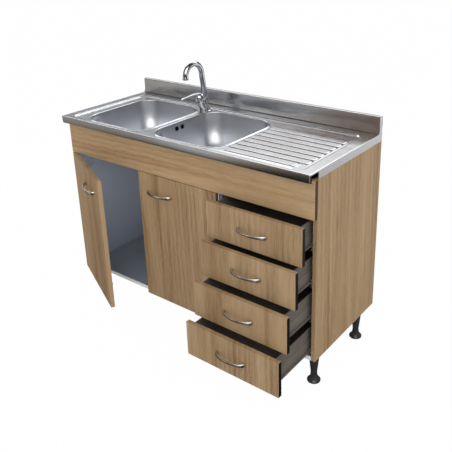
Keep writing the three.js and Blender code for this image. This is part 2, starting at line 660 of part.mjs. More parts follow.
// Hinge arm: a pressed channel on its plate, cranked out to the link that enters the cup.
// "reach" is how far the link stands from the carcass board that carries the plate.
function hingeArm(side, reach) {
  const mountPlate = box(0, 2, 82, 122, -9, 9);
  const wing = box(0, 2, 94, 108, -26, 26);
  const arm = prism([
    [3, 118], [3, 62], [reach - 3.5, 54], [reach - 3.5, 45], [reach + 3.5, 45], [reach + 3.5, 56],
    [11, 67], [11, 118],
  ], -6, 6);
  const hollow = box(4.5, 9.5, 70, 119, -4.5, 7);
  const boss = rod(5, 0, 4, 10).rotateY(Math.PI / 2).translate(0, 101, 0);
  const built = join(mountPlate, wing, cut(arm, hollow), boss);
  return side > 0 ? built : built.scale(-1, 1, 1);
}

function door(name, hingeX, side, ajar, handleFromEdge) {
  const leaf = new THREE.Group();
  leaf.position.set(hingeX, FACE, 0);
  leaf.rotation.z = -side * THREE.MathUtils.degToRad(ajar);
  unit.add(leaf);
  add('door_' + name, doorBoard(side), oak, leaf);
  const handle = add('handle_door_' + name, bowHandle(), nickel, leaf);
  handle.position.set(side * (DOOR_W - handleFromEdge - HANDLE_L / 2), -FIT, TOP_Z - 244);
  HINGE_Z.forEach((z, i) => {
    const level = i === 0 ? 'lower' : 'upper';
    const cup = add(`hinge_cup_${name}_${level}`, hingeCup(side), zinc, leaf);
    cup.position.z = z;
  });
  const carcassFace = side > 0 ? -INNER_X : PARTITION_X - BOARD / 2;
  const reach = Math.abs(hingeX + side * (CUP_IN + 2) - carcassFace);
  HINGE_Z.forEach((z, i) => {
    const level = i === 0 ? 'lower' : 'upper';
    const arm = add(`hinge_arm_${name}_${level}`, hingeArm(side, reach), zinc);
    arm.position.set(carcassFace + side * FIT, 0, z);
  });
}

door('left', DOOR_LEFT_X, 1, DOOR_AJAR, 76);
door('right', DOOR_RIGHT_X, -1, 0, 48);

// ---------------------------------------------------------------- drawers
const BAY_LEFT = PARTITION_X + BOARD / 2;
const TRAY_W = INNER_X - BAY_LEFT - 2 * RUNNER_SPACE;
const TRAY_X = (INNER_X + BAY_LEFT) / 2;
const TRAY_FRONT = FACE + BOARD + FIT;

// Moulded tray: rounded corners, a rim, a lengthwise groove half way up and runner strips below.
function tray(rim) {
  const base = rim - TRAY_H;
  const middle = base + TRAY_H / 2;
  const ring = (inset, z) => roundedRing(TRAY_W - 2 * inset, TRAY_L - 2 * inset, 8, z,
    { cx: TRAY_X, cy: TRAY_FRONT + TRAY_L / 2, steps: 2 });
  const shell = skin([
    ring(3, base), ring(0.5, base + 2), ring(0.5, middle - 3),
    ring(3.2, middle - 1.5), ring(3.2, middle + 2),
    ring(1.8, middle + 3.5), ring(1.8, rim - 5), ring(0, rim - 4), ring(0, rim),
    ring(5.5, rim), ring(5.5, base + 3),
  ]);
  const strips = [-1, 1].map((side) => {
    const inner = TRAY_X + side * (TRAY_W / 2 - 4);
    const outer = TRAY_X + side * (TRAY_W / 2 + 8.5);
    const back = TRAY_FRONT + TRAY_L - 4;
    return box(Math.min(inner, outer), Math.max(inner, outer), TRAY_FRONT + 30, back, base, base + 2.5);
  });
  return join(shell, ...strips);
}

// Cabinet runner: a channel screwed to the bay's wall, with the roller that carries the tray's strip.
function runner(side, rim) {
  const base = rim - TRAY_H;
  const wall = side > 0 ? INNER_X - FIT : BAY_LEFT + FIT;
  const x = (off) => wall - side * off;
  const section = [
    [x(0), base - 17], [x(10.5), base - 17], [x(10.5), base - 15.5], [x(1.5), base - 15.5],
    [x(1.5), base + 7], [x(10.5), base + 7], [x(10.5), base + 8.5], [x(0), base + 8.5],
  ];
  const front = CARCASS_FRONT + 3;
  const channel = runY(section, front, TRAY_FRONT + TRAY_L);
  const axle = rod(2.5, 0.5, 10, 6);
  const roller = join(rod(7, 3, 9.5, 12), axle)
    .rotateY(-side * Math.PI / 2)
    .translate(wall, front + 12, base - 7.6);
  return join(channel, roller);
}

function drawer(number) {
  const top = FRONTS_TOP - (number - 1) * DRAWER_PITCH;
  const rim = top - TRAY_DROP;
  const pulled = new THREE.Group();
  pulled.position.y = -DRAWER_OUT[number - 1];
  unit.add(pulled);
  const left = DRAWER_RIGHT_X - DRAWER_FRONT_W;
  const front = box(left, DRAWER_RIGHT_X, FACE, FACE + BOARD, top - DRAWER_FRONT_H, top);
  add(`drawer_front_${number}`, front, oak, pulled);
  add(`drawer_tray_${number}`, tray(rim), trayPlastic, pulled);
  const handle = add(`drawer_handle_${number}`, bowHandle(), nickel, pulled);
  handle.position.set((left + DRAWER_RIGHT_X) / 2, FACE - FIT, top - DRAWER_FRONT_H / 2);
  add(`runner_left_${number}`, runner(-1, rim), zinc);
  add(`runner_right_${number}`, runner(1, rim), zinc);
}

DRAWER_OUT.forEach((_, i) => drawer(i + 1));

// ---------------------------------------------------------------- legs
// Tapered leg with a bore from below, and a flared pad whose stem screws into it.
function leg() {
  return turned([
    [4.6, PAD_H], [12, PAD_H], [13.5, 50], [20, FOOT_H - 14], [22, FOOT_H - 4], [22, FOOT_H - FIT],
    [0, FOOT_H - FIT], [0, PAD_H + 50], [4.6, PAD_H + 50], [4.6, PAD_H],
  ], 12);
}

function legPad() {
  return turned([
    [0, 0], [24, 0], [25, 2], [25, 5], [21, 9], [15, 19], [12.5, PAD_H - 5], [12.5, PAD_H - FIT],
    [4.2, PAD_H - FIT], [4.2, PAD_H + 45], [0, PAD_H + 45],
  ], 12);
}

for (const [side, sideName] of [[-1, 'left'], [1, 'right']]) {
  LEG_Y.forEach((y, i) => {
    const corner = (i === 0 ? 'front_' : 'rear_') + sideName;
    add('leg_' + corner, leg(), legPlastic).position.set(side * LEG_X, y, 0);
    add('leg_pad_' + corner, legPad(), legPlastic).position.set(side * LEG_X, y, 0);
  });
}

const sinkUnit = new THREE.Group();
sinkUnit.add(unit);
export default sinkUnit;
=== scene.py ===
"""Kitchen sink unit, 120 x 50 cm: the visible model and its finishes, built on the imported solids.

Shapes are drawn in millimetres of the unit: x from its middle, y back from the worktop's front
edge, z above the floor. They are turned into the frame's metres when a piece is made.
"""
import math

import bmesh
import bpy
from bpy.props import FloatProperty, FloatVectorProperty, IntProperty, PointerProperty
from mathutils import Matrix, Vector, geometry


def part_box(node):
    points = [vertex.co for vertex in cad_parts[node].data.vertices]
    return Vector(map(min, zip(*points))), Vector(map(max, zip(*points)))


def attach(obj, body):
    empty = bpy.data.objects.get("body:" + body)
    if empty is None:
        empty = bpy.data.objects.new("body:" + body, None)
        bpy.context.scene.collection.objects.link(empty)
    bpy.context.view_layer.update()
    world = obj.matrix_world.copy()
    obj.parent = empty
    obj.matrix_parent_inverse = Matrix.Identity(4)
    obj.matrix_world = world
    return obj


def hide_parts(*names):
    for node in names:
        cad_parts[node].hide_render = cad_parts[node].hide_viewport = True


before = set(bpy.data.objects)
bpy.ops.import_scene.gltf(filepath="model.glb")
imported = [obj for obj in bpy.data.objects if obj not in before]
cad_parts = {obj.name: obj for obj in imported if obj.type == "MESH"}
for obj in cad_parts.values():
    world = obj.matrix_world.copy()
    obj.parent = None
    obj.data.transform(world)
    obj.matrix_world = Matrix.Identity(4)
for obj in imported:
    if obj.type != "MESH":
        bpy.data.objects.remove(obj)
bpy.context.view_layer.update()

bl_info = {
    "name": "Kitchen sink unit",
    "version": (1, 0, 0),
    "blender": (4, 5, 0),
    "location": "View3D > Sidebar > Sink unit",
    "description": "Builds the stainless worktop, tap, drawers and finishes of a kitchen sink unit",
    "category": "Object",
}

MM = 0.001
FRONT_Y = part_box("sink_top")[0].y  # the worktop's front edge in the frame
WORKTOP_H = 850.0
HALF_W = 600.0
FOLD_R = 4.0  # how far the rounded edge reaches in from the worktop's front and ends
RISE_Y = 475.0  # where the rim turns up to the upstand
UPSTAND_Y = (480.0, 500.0)
UPSTAND_TOP = WORKTOP_H + 65.0
PAN_H = 846.0
BOWLS = {"left": -333.5, "right": 34.5}
BOWL_Y = 217.0
BOWL_SIZE = (335.0, 370.0)
BOWL_TOP = 844.5
BOWL_FLOOR = 694.5
SLOT_Z = BOWL_TOP - 21.5
TAP = Vector((-148.0, 378.0, 846.3))
DRAWERS = (1, 2, 3, 4)
DOOR_AJAR = 25.5  # degrees that the left door stands open at rest
BACKWARDS = Vector((0, 1, 0))


# ------------------------------------------------------------------ drawing shapes
def spread(colour):
    """A display colour as the linear colour that the shaders use."""
    return tuple(c / 12.92 if c <= 0.04045 else ((c + 0.055) / 1.055) ** 2.4 for c in colour)


def shade(colour, factor):
    """A linear colour made lighter or darker."""
    return tuple(min(c * factor, 1) for c in colour)


def to_frame(p):
    return Vector((p[0] * MM, p[1] * MM + FRONT_Y, p[2] * MM))


def unit_box(node):
    """The low and high corner of a solid, in the unit's millimetres."""
    return [Vector((p.x / MM, (p.y - FRONT_Y) / MM, p.z / MM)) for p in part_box(node)]


def angles(steps, end=math.tau, start=0.0):
    """Angles from start to end in equal steps, both included."""
    return [start + (end - start) * i / steps for i in range(steps + 1)]


def polar(r, angle):
    return Vector((r * math.cos(angle), r * math.sin(angle), 0))


def ring(width, depth, radius, z, cx=0.0, cy=0.0, steps=8, straight=1):
    """Points of a rounded rectangle in plan, anticlockwise; its sides are split into straight parts."""
    r = min(radius, width / 2, depth / 2)
    corners = []
    for corner, (sx, sy) in enumerate(((1, 1), (-1, 1), (-1, -1), (1, -1))):
        middle = Vector((cx + sx * (width / 2 - r), cy + sy * (depth / 2 - r), z))
        corners.append([middle + polar(1, (corner + i / steps) * math.pi / 2) * r for i in range(steps + 1)])
    points = []
    for corner, after in zip(corners, corners[1:] + corners[:1]):
        points += corner + [corner[-1].lerp(after[0], i / straight) for i in range(1, straight)]
    return points


def circle(r, z, cx=0.0, cy=0.0, count=40):
    """Points of a circle in plan, starting at +X."""
    return [Vector((cx + r * math.cos(a), cy + r * math.sin(a), z)) for a in angles(count)[:-1]]


def bend(cy, cz, r, start, end, steps=5):
    """Points (y, z) of an arc, angles in degrees."""
    return [(cy + r * math.cos(a), cz + r * math.sin(a))
            for a in angles(steps, math.radians(end), math.radians(start))]


def eased(rings, steps):
    """Rings with smoothly curved ones filled in between them."""
    filled = []
    for rows in zip(rings[:1] + rings, rings, rings[1:], rings[2:] + rings[-1:]):
        for t in (i / steps for i in range(steps)):
            filled.append([0.5 * (2 * b + (c - a) * t + (2 * a - 5 * b + 4 * c - d) * t * t
                                  + (3 * b - a - 3 * c + d) * t ** 3) for a, b, c, d in zip(*rows)])
    return filled + [list(rings[-1])]


def along(path, radius, sides=24, up=Vector((1, 0, 0))):
    """Rings round a path; radius may be a list."""
    rings = []
    for k, point in enumerate(path):
        run = (path[min(k + 1, len(path) - 1)] - path[max(k - 1, 0)]).normalized()
        side = (up - run * up.dot(run)).normalized()
        across = run.cross(side)
        r = radius[k] if isinstance(radius, list) else radius
        rings.append([point + side * (r * math.cos(a)) + across * (r * math.sin(a)) for a in angles(sides)[:-1]])
    return rings


def inside(point, outline):
    """Whether a point of the plan lies inside an outline."""
    x, y = point[0], point[1]
    hit = False
    for a, b in zip(outline, outline[1:] + outline[:1]):
        if (a[1] > y) != (b[1] > y) and x < (b[0] - a[0]) * (y - a[1]) / (b[1] - a[1]) + a[0]:
            hit = not hit
    return hit


class Shape:
    """Points and faces of one piece while it is drawn."""

    def __init__(self):
        self.points, self.faces, self.paint = [], [], []
        self.tone = 0  # which finish the next faces get

    def face(self, corners):
        self.faces.append(tuple(corners))
        self.paint.append(self.tone)

    def put(self, points):
        """Adds points and returns the number of the first."""
        self.points += [Vector(p) for p in points]
        return len(self.points) - len(points)

    def skin(self, rings, looped=False, caps=(True, True), open_side=False):
        """A skin over rings of equal count."""
        count = len(rings[0])
        starts = [self.put(r) for r in rings]
        for a, b in zip(starts, starts[1:] + starts[:1] if looped else starts[1:]):
            for i in range(count - open_side):
                j = (i + 1) % count
                self.face((a + i, a + j, b + j, b + i))
        if caps[0] and not looped:
            self.face(reversed(range(starts[0], starts[0] + count)))
        if caps[1] and not looped:
            self.face(range(starts[-1], starts[-1] + count))
        return self

    def tube(self, rings, open_side=False):
        """A skin that is left open at both ends."""
        return self.skin(rings, caps=(False, False), open_side=open_side)

    def turn(self, profile, count=40, at=Matrix()):
        """A turned form about +Z from (radius, z); points on the axis close it."""
        rings = [[at @ p for p in circle(max(r, 1e-4), z, count=count)] for r, z in profile]
        return self.skin(rings, caps=(profile[0][0] > 0, profile[-1][0] > 0))

    def run(self, section, start, end, closed=True):
        """A section (y, z) run along X."""
        rings = [[Vector((x, y, z)) for y, z in section] for x in (start, end)]
        return self.skin(rings, caps=(closed, closed), open_side=not closed)

    def sheet(self, outline, holes=(), extra=(), height=lambda x, y: 0.0):
        """A flat sheet with holes and extra points inside it, lifted by height(x, y)."""
        loops = [list(outline), *map(list, holes)]
        points, edges = [], []
        for loop in loops:
            start = len(points)
            points += [Vector((p[0], p[1])) for p in loop]
            edges += [(start + i, start + (i + 1) % len(loop)) for i in range(len(loop))]
        points += [Vector(p) for p in extra]
        made, _, faces, _, _, _ = geometry.delaunay_2d_cdt(points, edges, [], 0, 1e-4)
        base = self.put([(p.x, p.y, outline[0][2] + height(p.x, p.y)) for p in made])
        for f in faces:
            middle = sum((made[i] for i in f), Vector((0, 0))) / 3
            if inside(middle, loops[0]) and not any(inside(middle, h) for h in loops[1:]):
                self.face(base + i for i in f)
        return self

    def block(self, low, high, r=0.6):
        """A block with eased edges."""
        (x0, y0, z0), (x1, y1, z1) = low, high
        levels = (z0, r), (z0 + r * 0.3, r * 0.3), (z0 + r, 0), (z1 - r, 0), (z1 - r * 0.3, r * 0.3), (z1, r)
        return self.skin([ring(x1 - x0 - 2 * inset, y1 - y0 - 2 * inset, max(r - inset, 0.01) + 0.2, z,
                               (x0 + x1) / 2, (y0 + y1) / 2, steps=2) for z, inset in levels])

    def moved(self, matrix, first=0):
        """Moves the points from number "first" on."""
        self.points[first:] = [matrix @ p for p in self.points[first:]]
        return self


def make(name, shape, finishes, body, stands_for=(), crease=32, facing_up=None):
    """Turns a drawn shape into a piece that rides on a body; facing_up is a place seen from above."""
    mesh = bpy.data.meshes.new(name)
    mesh.from_pydata([to_frame(p) for p in shape.points], [], shape.faces)
    for face, tone in zip(mesh.polygons, shape.paint):
        face.material_index = tone
    work = bmesh.new()
    work.from_mesh(mesh)
    bmesh.ops.remove_doubles(work, verts=work.verts, dist=8e-6)
    bmesh.ops.dissolve_degenerate(work, edges=work.edges, dist=2e-6)
    bmesh.ops.recalc_face_normals(work, faces=work.faces)
    if facing_up:
        place = to_frame(facing_up)
        nearest = min(work.faces, key=lambda face: (face.calc_center_median() - place).length)
        if nearest.normal.z < 0:
            bmesh.ops.reverse_faces(work, faces=work.faces)
    work.to_mesh(mesh)
    work.free()
    mesh.shade_smooth()
    mesh.set_sharp_from_angle(angle=math.radians(crease))
    made = bpy.data.objects.new(name, mesh)
    bpy.context.scene.collection.objects.link(made)
    for finish in finishes if isinstance(finishes, list) else [finishes]:
        mesh.materials.append(finish)
    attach(made, body)
    if stands_for:
        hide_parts(*stands_for)
    return made


# ------------------------------------------------------------------ finishes
class Nodes:
    """A node tree while it is being set out; what goes into a node is a value or a socket."""

    def __init__(self, owner):
        owner.use_nodes = True
        self.tree = owner.node_tree

    def feed(self, socket, value):
        if isinstance(value, bpy.types.NodeSocket):
            self.tree.links.new(value, socket)
        else:
            socket.default_value = (*value, 1) if socket.type == "RGBA" else value

    def add(self, kind, *inputs, named=None, **options):
        """A node: the inputs go to its first sockets, the named ones by name."""
        node = self.tree.nodes.new("ShaderNode" + kind)
        for key, value in options.items():
            setattr(node, key, value)
        for socket, value in zip(node.inputs, inputs):
            self.feed(socket, value)
        for key, value in (named or {}).items():
            self.feed(node.inputs[key], value)
        return node

    def math(self, operation, a, b=0.0):
        return self.add("Math", a, b, operation=operation).outputs[0]

    def product(self, value, *factors):
        for factor in factors:
            value = self.math("MULTIPLY", value, factor)
        return value

    def blend(self, first, *others):
        """The sum of (value, weight)."""
        value = self.product(*first)
        for other in others:
            value = self.math("ADD", value, self.product(*other))
        return value

    def dot(self, vector, direction):
        return self.add("VectorMath", vector, direction, operation="DOT_PRODUCT").outputs["Value"]

    def parts(self, vector):
        return self.add("SeparateXYZ", vector).outputs

    def span(self, value, low, high, to_low, to_high, **options):
        return self.add("MapRange", value, low, high, to_low, to_high, **options).outputs["Result"]

    def mapped(self, vector, scale=1, location=(0, 0, 0), rotation=(0, 0, 0)):
        scale = scale if isinstance(scale, tuple) else (scale,) * 3
        return self.add("Mapping", vector, location, rotation, scale).outputs["Vector"]

    def ramp(self, factor, stops):
        node = self.add("ValToRGB", factor)
        marks = node.color_ramp.elements
        while len(marks) < len(stops):
            marks.new(0.5)
        for mark, (position, colour) in zip(marks, stops):
            mark.position = position
            mark.color = (*colour, 1)
        return node.outputs["Color"]

    def mix(self, factor, a, b):
        node = self.add("Mix", factor, data_type="RGBA")
        for socket, value in zip([s for s in node.inputs if s.type == "RGBA"], (a, b)):
            self.feed(socket, value)
        return [s for s in node.outputs if s.type == "RGBA"][0]


class Finish(Nodes):
    """The material of a piece."""

    def __init__(self, name, **shader):
        self.material = bpy.data.materials.new(name)
        super().__init__(self.material)
        self.shader = self.tree.nodes["Principled BSDF"]
        for key, value in shader.items():
            self.shader.inputs[key.replace("_", " ")].default_value = value
        self.place = self.add("TexCoord").outputs

    def noise(self, scale, detail=3.0, roughness=0.5, distortion=0.0, vector=None, **placing):
        """Noise, drawn out by a scale of one number or three."""
        return self.add("TexNoise", named={
            "Vector": self.mapped(vector or self.place["Object"], scale, **placing), "Scale": 1.0,
            "Detail": detail, "Roughness": roughness, "Distortion": distortion}).outputs["Fac"]

    def tones(self, factor, base, dark, light=1.0, low=0.3, high=0.7):
        """A colour that runs from darker to lighter."""
        return self.ramp(factor, [(low, shade(base, dark)), (high, shade(base, light))])

    def finish(self, colour, roughness, *bumps):
        """Ends the material; bumps are (height, distance in metres)."""
        self.feed(self.shader.inputs["Base Color"], colour)
        self.feed(self.shader.inputs["Roughness"], roughness)
        normal = self.shader.inputs["Normal"]
        for height, distance in bumps:
            node = self.add("Bump", named={"Height": height, "Distance": distance, "Strength": 1.0})
            if normal.is_linked:
                self.feed(node.inputs["Normal"], normal.links[0].from_socket)
            self.feed(normal, node.outputs["Normal"])
        return self.material

    def painted_light_upwards(self, colour):
        """Painted light: a lining made lighter towards the worktop, for the light that falls in from above."""
        height = self.span(self.parts(self.place["Object"])["Z"], 0.15, 0.62, 1.9, 3.2)
        return self.add("VectorMath", colour, named={"Scale": height}, operation="SCALE").outputs["Vector"]

    def facing(self, x=0.0, y=0.0, z=0.0):
        """1 where the surface, as built, faces a direction, otherwise 0."""
        return self.math("GREATER_THAN", self.dot(self.place["Normal"], (x, y, z)), 0.6)


def oak(name, sizes, grain="Z", turn=0.0, seed=0.0, plain=(), inner_light=False, tone_of=1.0):
    """Printed oak veneer: broad bands, streaks, a flat-sawn figure here and there, fibres and pores.

    plain is a row of (direction, colour) for the faces of another colour, such as dark board ends; with
    inner_light those faces get painted light, lighter towards the worktop.
    tone_of makes the whole board lighter or darker, partly for the board's own tone and partly as painted light
    and shade.
    """
    f = Finish(name, Roughness=0.5, Specular_IOR_Level=0.3)
    stand = f.mapped(f.place["Object"], rotation=(0, math.radians(90) if grain == "X" else 0, 0))
    stand = f.mapped(stand, location=(seed * 0.61, seed * 0.23, seed * 0.37), rotation=(0, 0, turn))
    bands = f.noise((14, 14, 0.7), distortion=0.6, vector=stand)
    streaks = f.noise((58, 58, 3.2), roughness=0.6, distortion=0.5, vector=stand)
    fibres = f.noise((290, 290, 16), roughness=0.7, vector=stand)
    pores = f.noise((950, 950, 22), 2.0, 0.6, vector=stand)
    tilted = f.mapped(stand, location=(0.03, 0.06, 0), rotation=(math.radians(6), math.radians(3), 0))
    rings = f.add("TexWave", named={
        "Vector": tilted, "Scale": sizes.ring_scale, "Distortion": 2.6, "Detail": 2.0, "Detail Scale": 1.4,
        "Detail Roughness": 0.55}, wave_type="RINGS", rings_direction="Z", wave_profile="SAW")
    where = f.noise((5, 5, 1.3), 1.0, 0.4, location=(seed, 2, 1), vector=stand)
    figure = f.product(f.span(where, 0.46, 0.60, 0.0, 1.0), f.math("SUBTRACT", rings.outputs["Fac"], 0.5))
    pore = f.span(pores, 0.58, 0.72, 0.0, 1.0)
    tone = f.blend((bands, 0.54), (streaks, 0.16), (fibres, 0.30), (figure, 0.12))
    light, middle, dark = (
        shade(spread(c), tone_of) for c in (sizes.oak_light, sizes.oak_middle, sizes.oak_dark))
    colour = f.ramp(tone, [(0.36, dark), (0.495, middle), (0.65, light)])
    colour = f.mix(f.product(pore, 0.30), colour, shade(dark, 0.45))
    height = f.math("SUBTRACT", f.product(streaks, 0.4), pore)
    for direction, other in plain:
        other = f.tones(f.noise(420, 2.0), spread(other), 0.86)
        # Painted light: these plain faces grow lighter towards the worktop.
        if inner_light:
            other = f.painted_light_upwards(other)
        there = f.facing(*direction)
        colour = f.mix(there, colour, other)
        height = f.product(height, f.math("SUBTRACT", 1.0, there))
    return f.finish(colour, f.span(streaks, 0.3, 0.7, 0.44, 0.58), (height, 0.00012))


def lining(name, colour, seed, banding=None):
    """Melamine-faced board: faint mottling, a pearl grain and a banded front edge."""
    f = Finish(name)
    cloud = f.noise((7, 7, 5), location=(seed, seed, 0))
    grain = f.noise(700, 2.0)
    base = spread(colour)
    tone = f.mix(0.12, f.tones(cloud, base, 0.92, 1.08, high=0.72), f.tones(grain, base, 0.6, 1.4, 0.35, 0.65))
    if banding:
        tone = f.mix(f.facing(y=-1), tone, f.tones(grain, spread(banding), 0.9))
    return f.finish(tone, f.span(grain, 0.3, 0.7, 0.40, 0.55), (grain, 0.00004))


def hardboard(name, front, back):
    """Back board: white-grey lacquer inside, raw brown fibre outside; the lacquered inside gets painted light,
    lighter towards the worktop.
    """
    f = Finish(name)
    fibre = f.noise(240, 5.0, 0.7, rotation=(0.3, 0.2, 0.5))
    cloud = f.noise(5)
    raw = f.tones(f.blend((fibre, 0.7), (cloud, 0.3)), spread(back), 0.6, low=0.36, high=0.66)
    # Painted light: the lacquered inside grows lighter towards the worktop.
    smooth = f.painted_light_upwards(f.tones(cloud, spread(front), 0.9))
    return f.finish(f.mix(f.facing(y=1), smooth, raw), f.span(fibre, 0.3, 0.7, 0.55, 0.8), (fibre, 0.0002))


def groove_painted_shade(f):
    """How much painted shade lies at a place: all of it in the drainer's grooves, none on its swellings."""
    place = f.parts(f.place["Object"])

    def side(operation, axis, limit):
        return f.math(operation, place[axis], limit * MM + (FRONT_Y if axis == "Y" else 0.0))

    wide = RIDGE_HALF + 3.0
    groove_shade = f.product(
        f.span(place["Z"], (PAN_H + 0.4) * MM, (PAN_H + 1.8) * MM, 0.75, 0.0),
        side("GREATER_THAN", "X", DRAIN_X[0] - 1.0), side("LESS_THAN", "X", DRAIN_X[1] + 1.0),
        side("GREATER_THAN", "Y", DRAIN_LINES[0] - wide), side("LESS_THAN", "Y", DRAIN_LINES[-1] + wide))
    # No painted shade where the front swelling leaves the pan plain.
    first = side("LESS_THAN", "Y", sum(DRAIN_LINES[:2]) / 2 - 1.0)
    past = f.math("ADD", side("LESS_THAN", "X", FRONT_RIDGE_X[0] - 1.0),
                  side("GREATER_THAN", "X", FRONT_RIDGE_X[1] + 1.0))
    return f.product(groove_shade, f.math("SUBTRACT", 1.0, f.product(first, past)))


def steel(name, colour, roughness, wave=0.0002, brushed=True, grooves=False):
    """Satin stainless: fine brushing, soft unevenness of pressed sheet and faint wipe marks.

    With grooves, the drainer's grooves get painted shade: a dark grey line along each.
    """
    f = Finish(name, Metallic=1.0)
    bumps = [(f.noise((6, 7, 6), 2.0), wave)]
    wipes = f.noise((9, 26, 20), 4.0, 0.55, rotation=(0, 0, 0.5))
    base = spread(colour)
    if brushed:
        lines = f.noise((5, 520, 520), roughness=0.6)
        tone = f.tones(f.blend((lines, 0.5), (wipes, 0.5)), base, 0.90)
        bumps.append((lines, 0.000003))
    else:
        tone = f.tones(wipes, base, 0.93)
    if grooves:
        # Painted shade: the steel is darkened in the drainer's grooves.
        tone = f.mix(groove_painted_shade(f), tone, shade(base, 0.16))
    return f.finish(tone, f.span(wipes, 0.3, 0.7, roughness - 0.02, roughness + 0.05), *bumps)


def polished(name, colour, roughness):
    """Plated brass or steel: near mirror, with faint smears."""
    f = Finish(name, Metallic=1.0)
    smear = f.noise(34, 4.0, 0.6)
    fine = f.noise(800, 2.0)
    dullness = f.math("ADD", f.span(smear, 0.35, 0.75, roughness, roughness + 0.05), f.product(fine, 0.02))
    return f.finish(f.tones(smear, spread(colour), 0.93), dullness, (smear, 0.00004))


def plated(name, colour, roughness, metallic=0.8):
    """Zinc-plated pressings: cloudy grey with a slight spangle."""
    f = Finish(name, Metallic=metallic)
    cloud = f.noise(60, 4.0, 0.6)
    spangle = f.add("TexVoronoi", named={"Vector": f.mapped(f.place["Object"], 420), "Scale": 1.0})
    tone = f.tones(f.blend((cloud, 0.7), (spangle.outputs["Distance"], 0.3)), spread(colour), 0.74)
    return f.finish(tone, f.span(cloud, 0.3, 0.7, roughness - 0.06, roughness + 0.1), (cloud, 0.00006))


def moulded(name, colour, roughness, grain=900.0, depth=0.00005, variation=0.12, gloss=0.5):
    """Moulded plastic: fine spark-eroded grain and a slight flow variation."""
    f = Finish(name, Specular_IOR_Level=gloss)
    texture = f.noise(grain, 2.0, 0.55)
    flow = f.noise((11, 11, 5))
    tone = f.tones(f.blend((flow, 0.75), (texture, 0.25)), spread(colour), 1 - variation, 1 + variation)
    return f.finish(tone, f.span(texture, 0.3, 0.7, roughness - 0.05, roughness + 0.08), (texture, depth))


def kept(name, build, *args, **options):
    """A finish that is built once and shared afterwards."""
    name = "finish_" + name
    return bpy.data.materials.get(name) or build(name, *args, **options)


def zinc():
    return kept("zinc_plated", plated, (0.66, 0.67, 0.68), 0.38)


def dress(node, finish, edge=0.0):
    """Gives a solid its finish and eases its edges."""
    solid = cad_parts[node]
    solid.data.materials.clear()
    solid.data.materials.append(finish)
    if edge:
        weld = solid.modifiers.new("weld", "WELD")
        weld.merge_threshold = 1e-5
        ease = solid.modifiers.new("eased edges", "BEVEL")
        ease.width = edge
        ease.segments = 2
        ease.limit_method = "ANGLE"
        ease.angle_limit = math.radians(40)
        ease.harden_normals = False


# ------------------------------------------------------------------ sizes and colours
def tint(name, description, *default):
    return FloatVectorProperty(name=name, description=description, default=default,
                               subtype="COLOR_GAMMA", size=3, min=0, max=1)


def length(name, description, default, least, most):
    return FloatProperty(name=name, description=description, default=default, min=least, max=most,
                         subtype="DISTANCE", unit="LENGTH")


class SinkUnitBoardSettings(bpy.types.PropertyGroup):
    """Veneered and lined boards."""
    oak_light: tint("Oak light", "Lightest tone of the oak veneer", 0.715, 0.605, 0.468)
    oak_middle: tint("Oak middle", "Main tone of the oak veneer", 0.645, 0.532, 0.395)
    oak_dark: tint("Oak dark", "Darkest tone of the oak veneer", 0.530, 0.415, 0.285)
    ring_scale: FloatProperty(
        name="Ring density", description="Density of the growth rings in the veneer",
        default=15.0, min=5, max=100)
    end_colour: tint("Board ends", "Colour of the drawer fronts' end faces", 0.10, 0.085, 0.075)
    fascia_end: tint("Fascia end", "Colour of the fascia's raw end", 0.27, 0.20, 0.16)
    door_edge: tint("Door edge", "Colour of the open door's banded edge", 0.72, 0.60, 0.45)
    banding_colour: tint("Front banding", "Colour of the bottom board's front edge", 0.98, 0.98, 0.99)
    lining_colour: tint("Lining", "Colour of the lining inside the cabinet", 0.53, 0.555, 0.60)
    edge_round: length("Edge rounding", "Rounding of the boards' edges", 0.0008, 0, 0.003)


class SinkUnitMetalSettings(bpy.types.PropertyGroup):
    """Worktop, tap and handles."""
    steel_colour: tint("Stainless", "Colour of the worktop and bowls", 0.77, 0.77, 0.775)
    steel_roughness: FloatProperty(
        name="Satin", description="Roughness of the stainless surfaces", default=0.21, min=0.05, max=0.8)
    chrome_colour: tint("Chrome", "Colour of the tap's plating", 0.80, 0.805, 0.81)
    nickel_colour: tint("Nickel", "Colour of the handles", 0.86, 0.84, 0.82)
    ridge_height: length("Drainer ridge", "Height of the drainer's ridges", 0.0022, 0.0005, 0.0024)
    bowl_smoothness: IntProperty(
        name="Bowl smoothness", description="Rings filled in between the bowl's main sections",
        default=4, min=1, max=8)


class SinkUnitPlasticSettings(bpy.types.PropertyGroup):
    """Drawer trays, feet and pipes."""
    tray_colour: tint("Trays", "Colour of the drawer trays", 0.41, 0.385, 0.36)
    leg_colour: tint("Legs", "Colour of the legs and pads", 0.20, 0.205, 0.205)
    pipe_colour: tint("Pipes", "Colour of the waste pipes", 0.88, 0.88, 0.86)


class SinkUnitStageSettings(bpy.types.PropertyGroup):
    """Floor, light and camera."""
    sky_strength: FloatProperty(
        name="Room light", description="Strength of the even light from all round", default=0.60, min=0, max=5)
    key_power: FloatProperty(
        name="Main light", description="Power of the large soft light", subtype="POWER",
        unit="POWER", default=46.0, min=0, max=1000)
    floor_colour: tint("Floor", "Colour of the floor", 0.98, 0.98, 0.98)
    lens: FloatProperty(
        name="Lens", description="Focal length of the camera in millimetres", default=49.46, min=10, max=200)


def settings():
    return bpy.context.scene.sink_unit


# ------------------------------------------------------------------ worktop
DRAIN_X = (218.0, 542.0)
DRAIN_LINES = [61.0 + 39.5 * i for i in range(8)]
FRONT_RIDGE_X = (231.0, 514.0)  # the front swelling is shorter than the others
RIDGE_HALF = 17.0
RIDGE_EDGE = 3.2
RIDGE_CORNER = 9.0


def pan_edge(grow, z):
    """The outline of the recessed pan, grown by an offset."""
    return ring(1110 + 2 * grow, 413 + 2 * grow, 30 + grow, z, 0, 223.5)


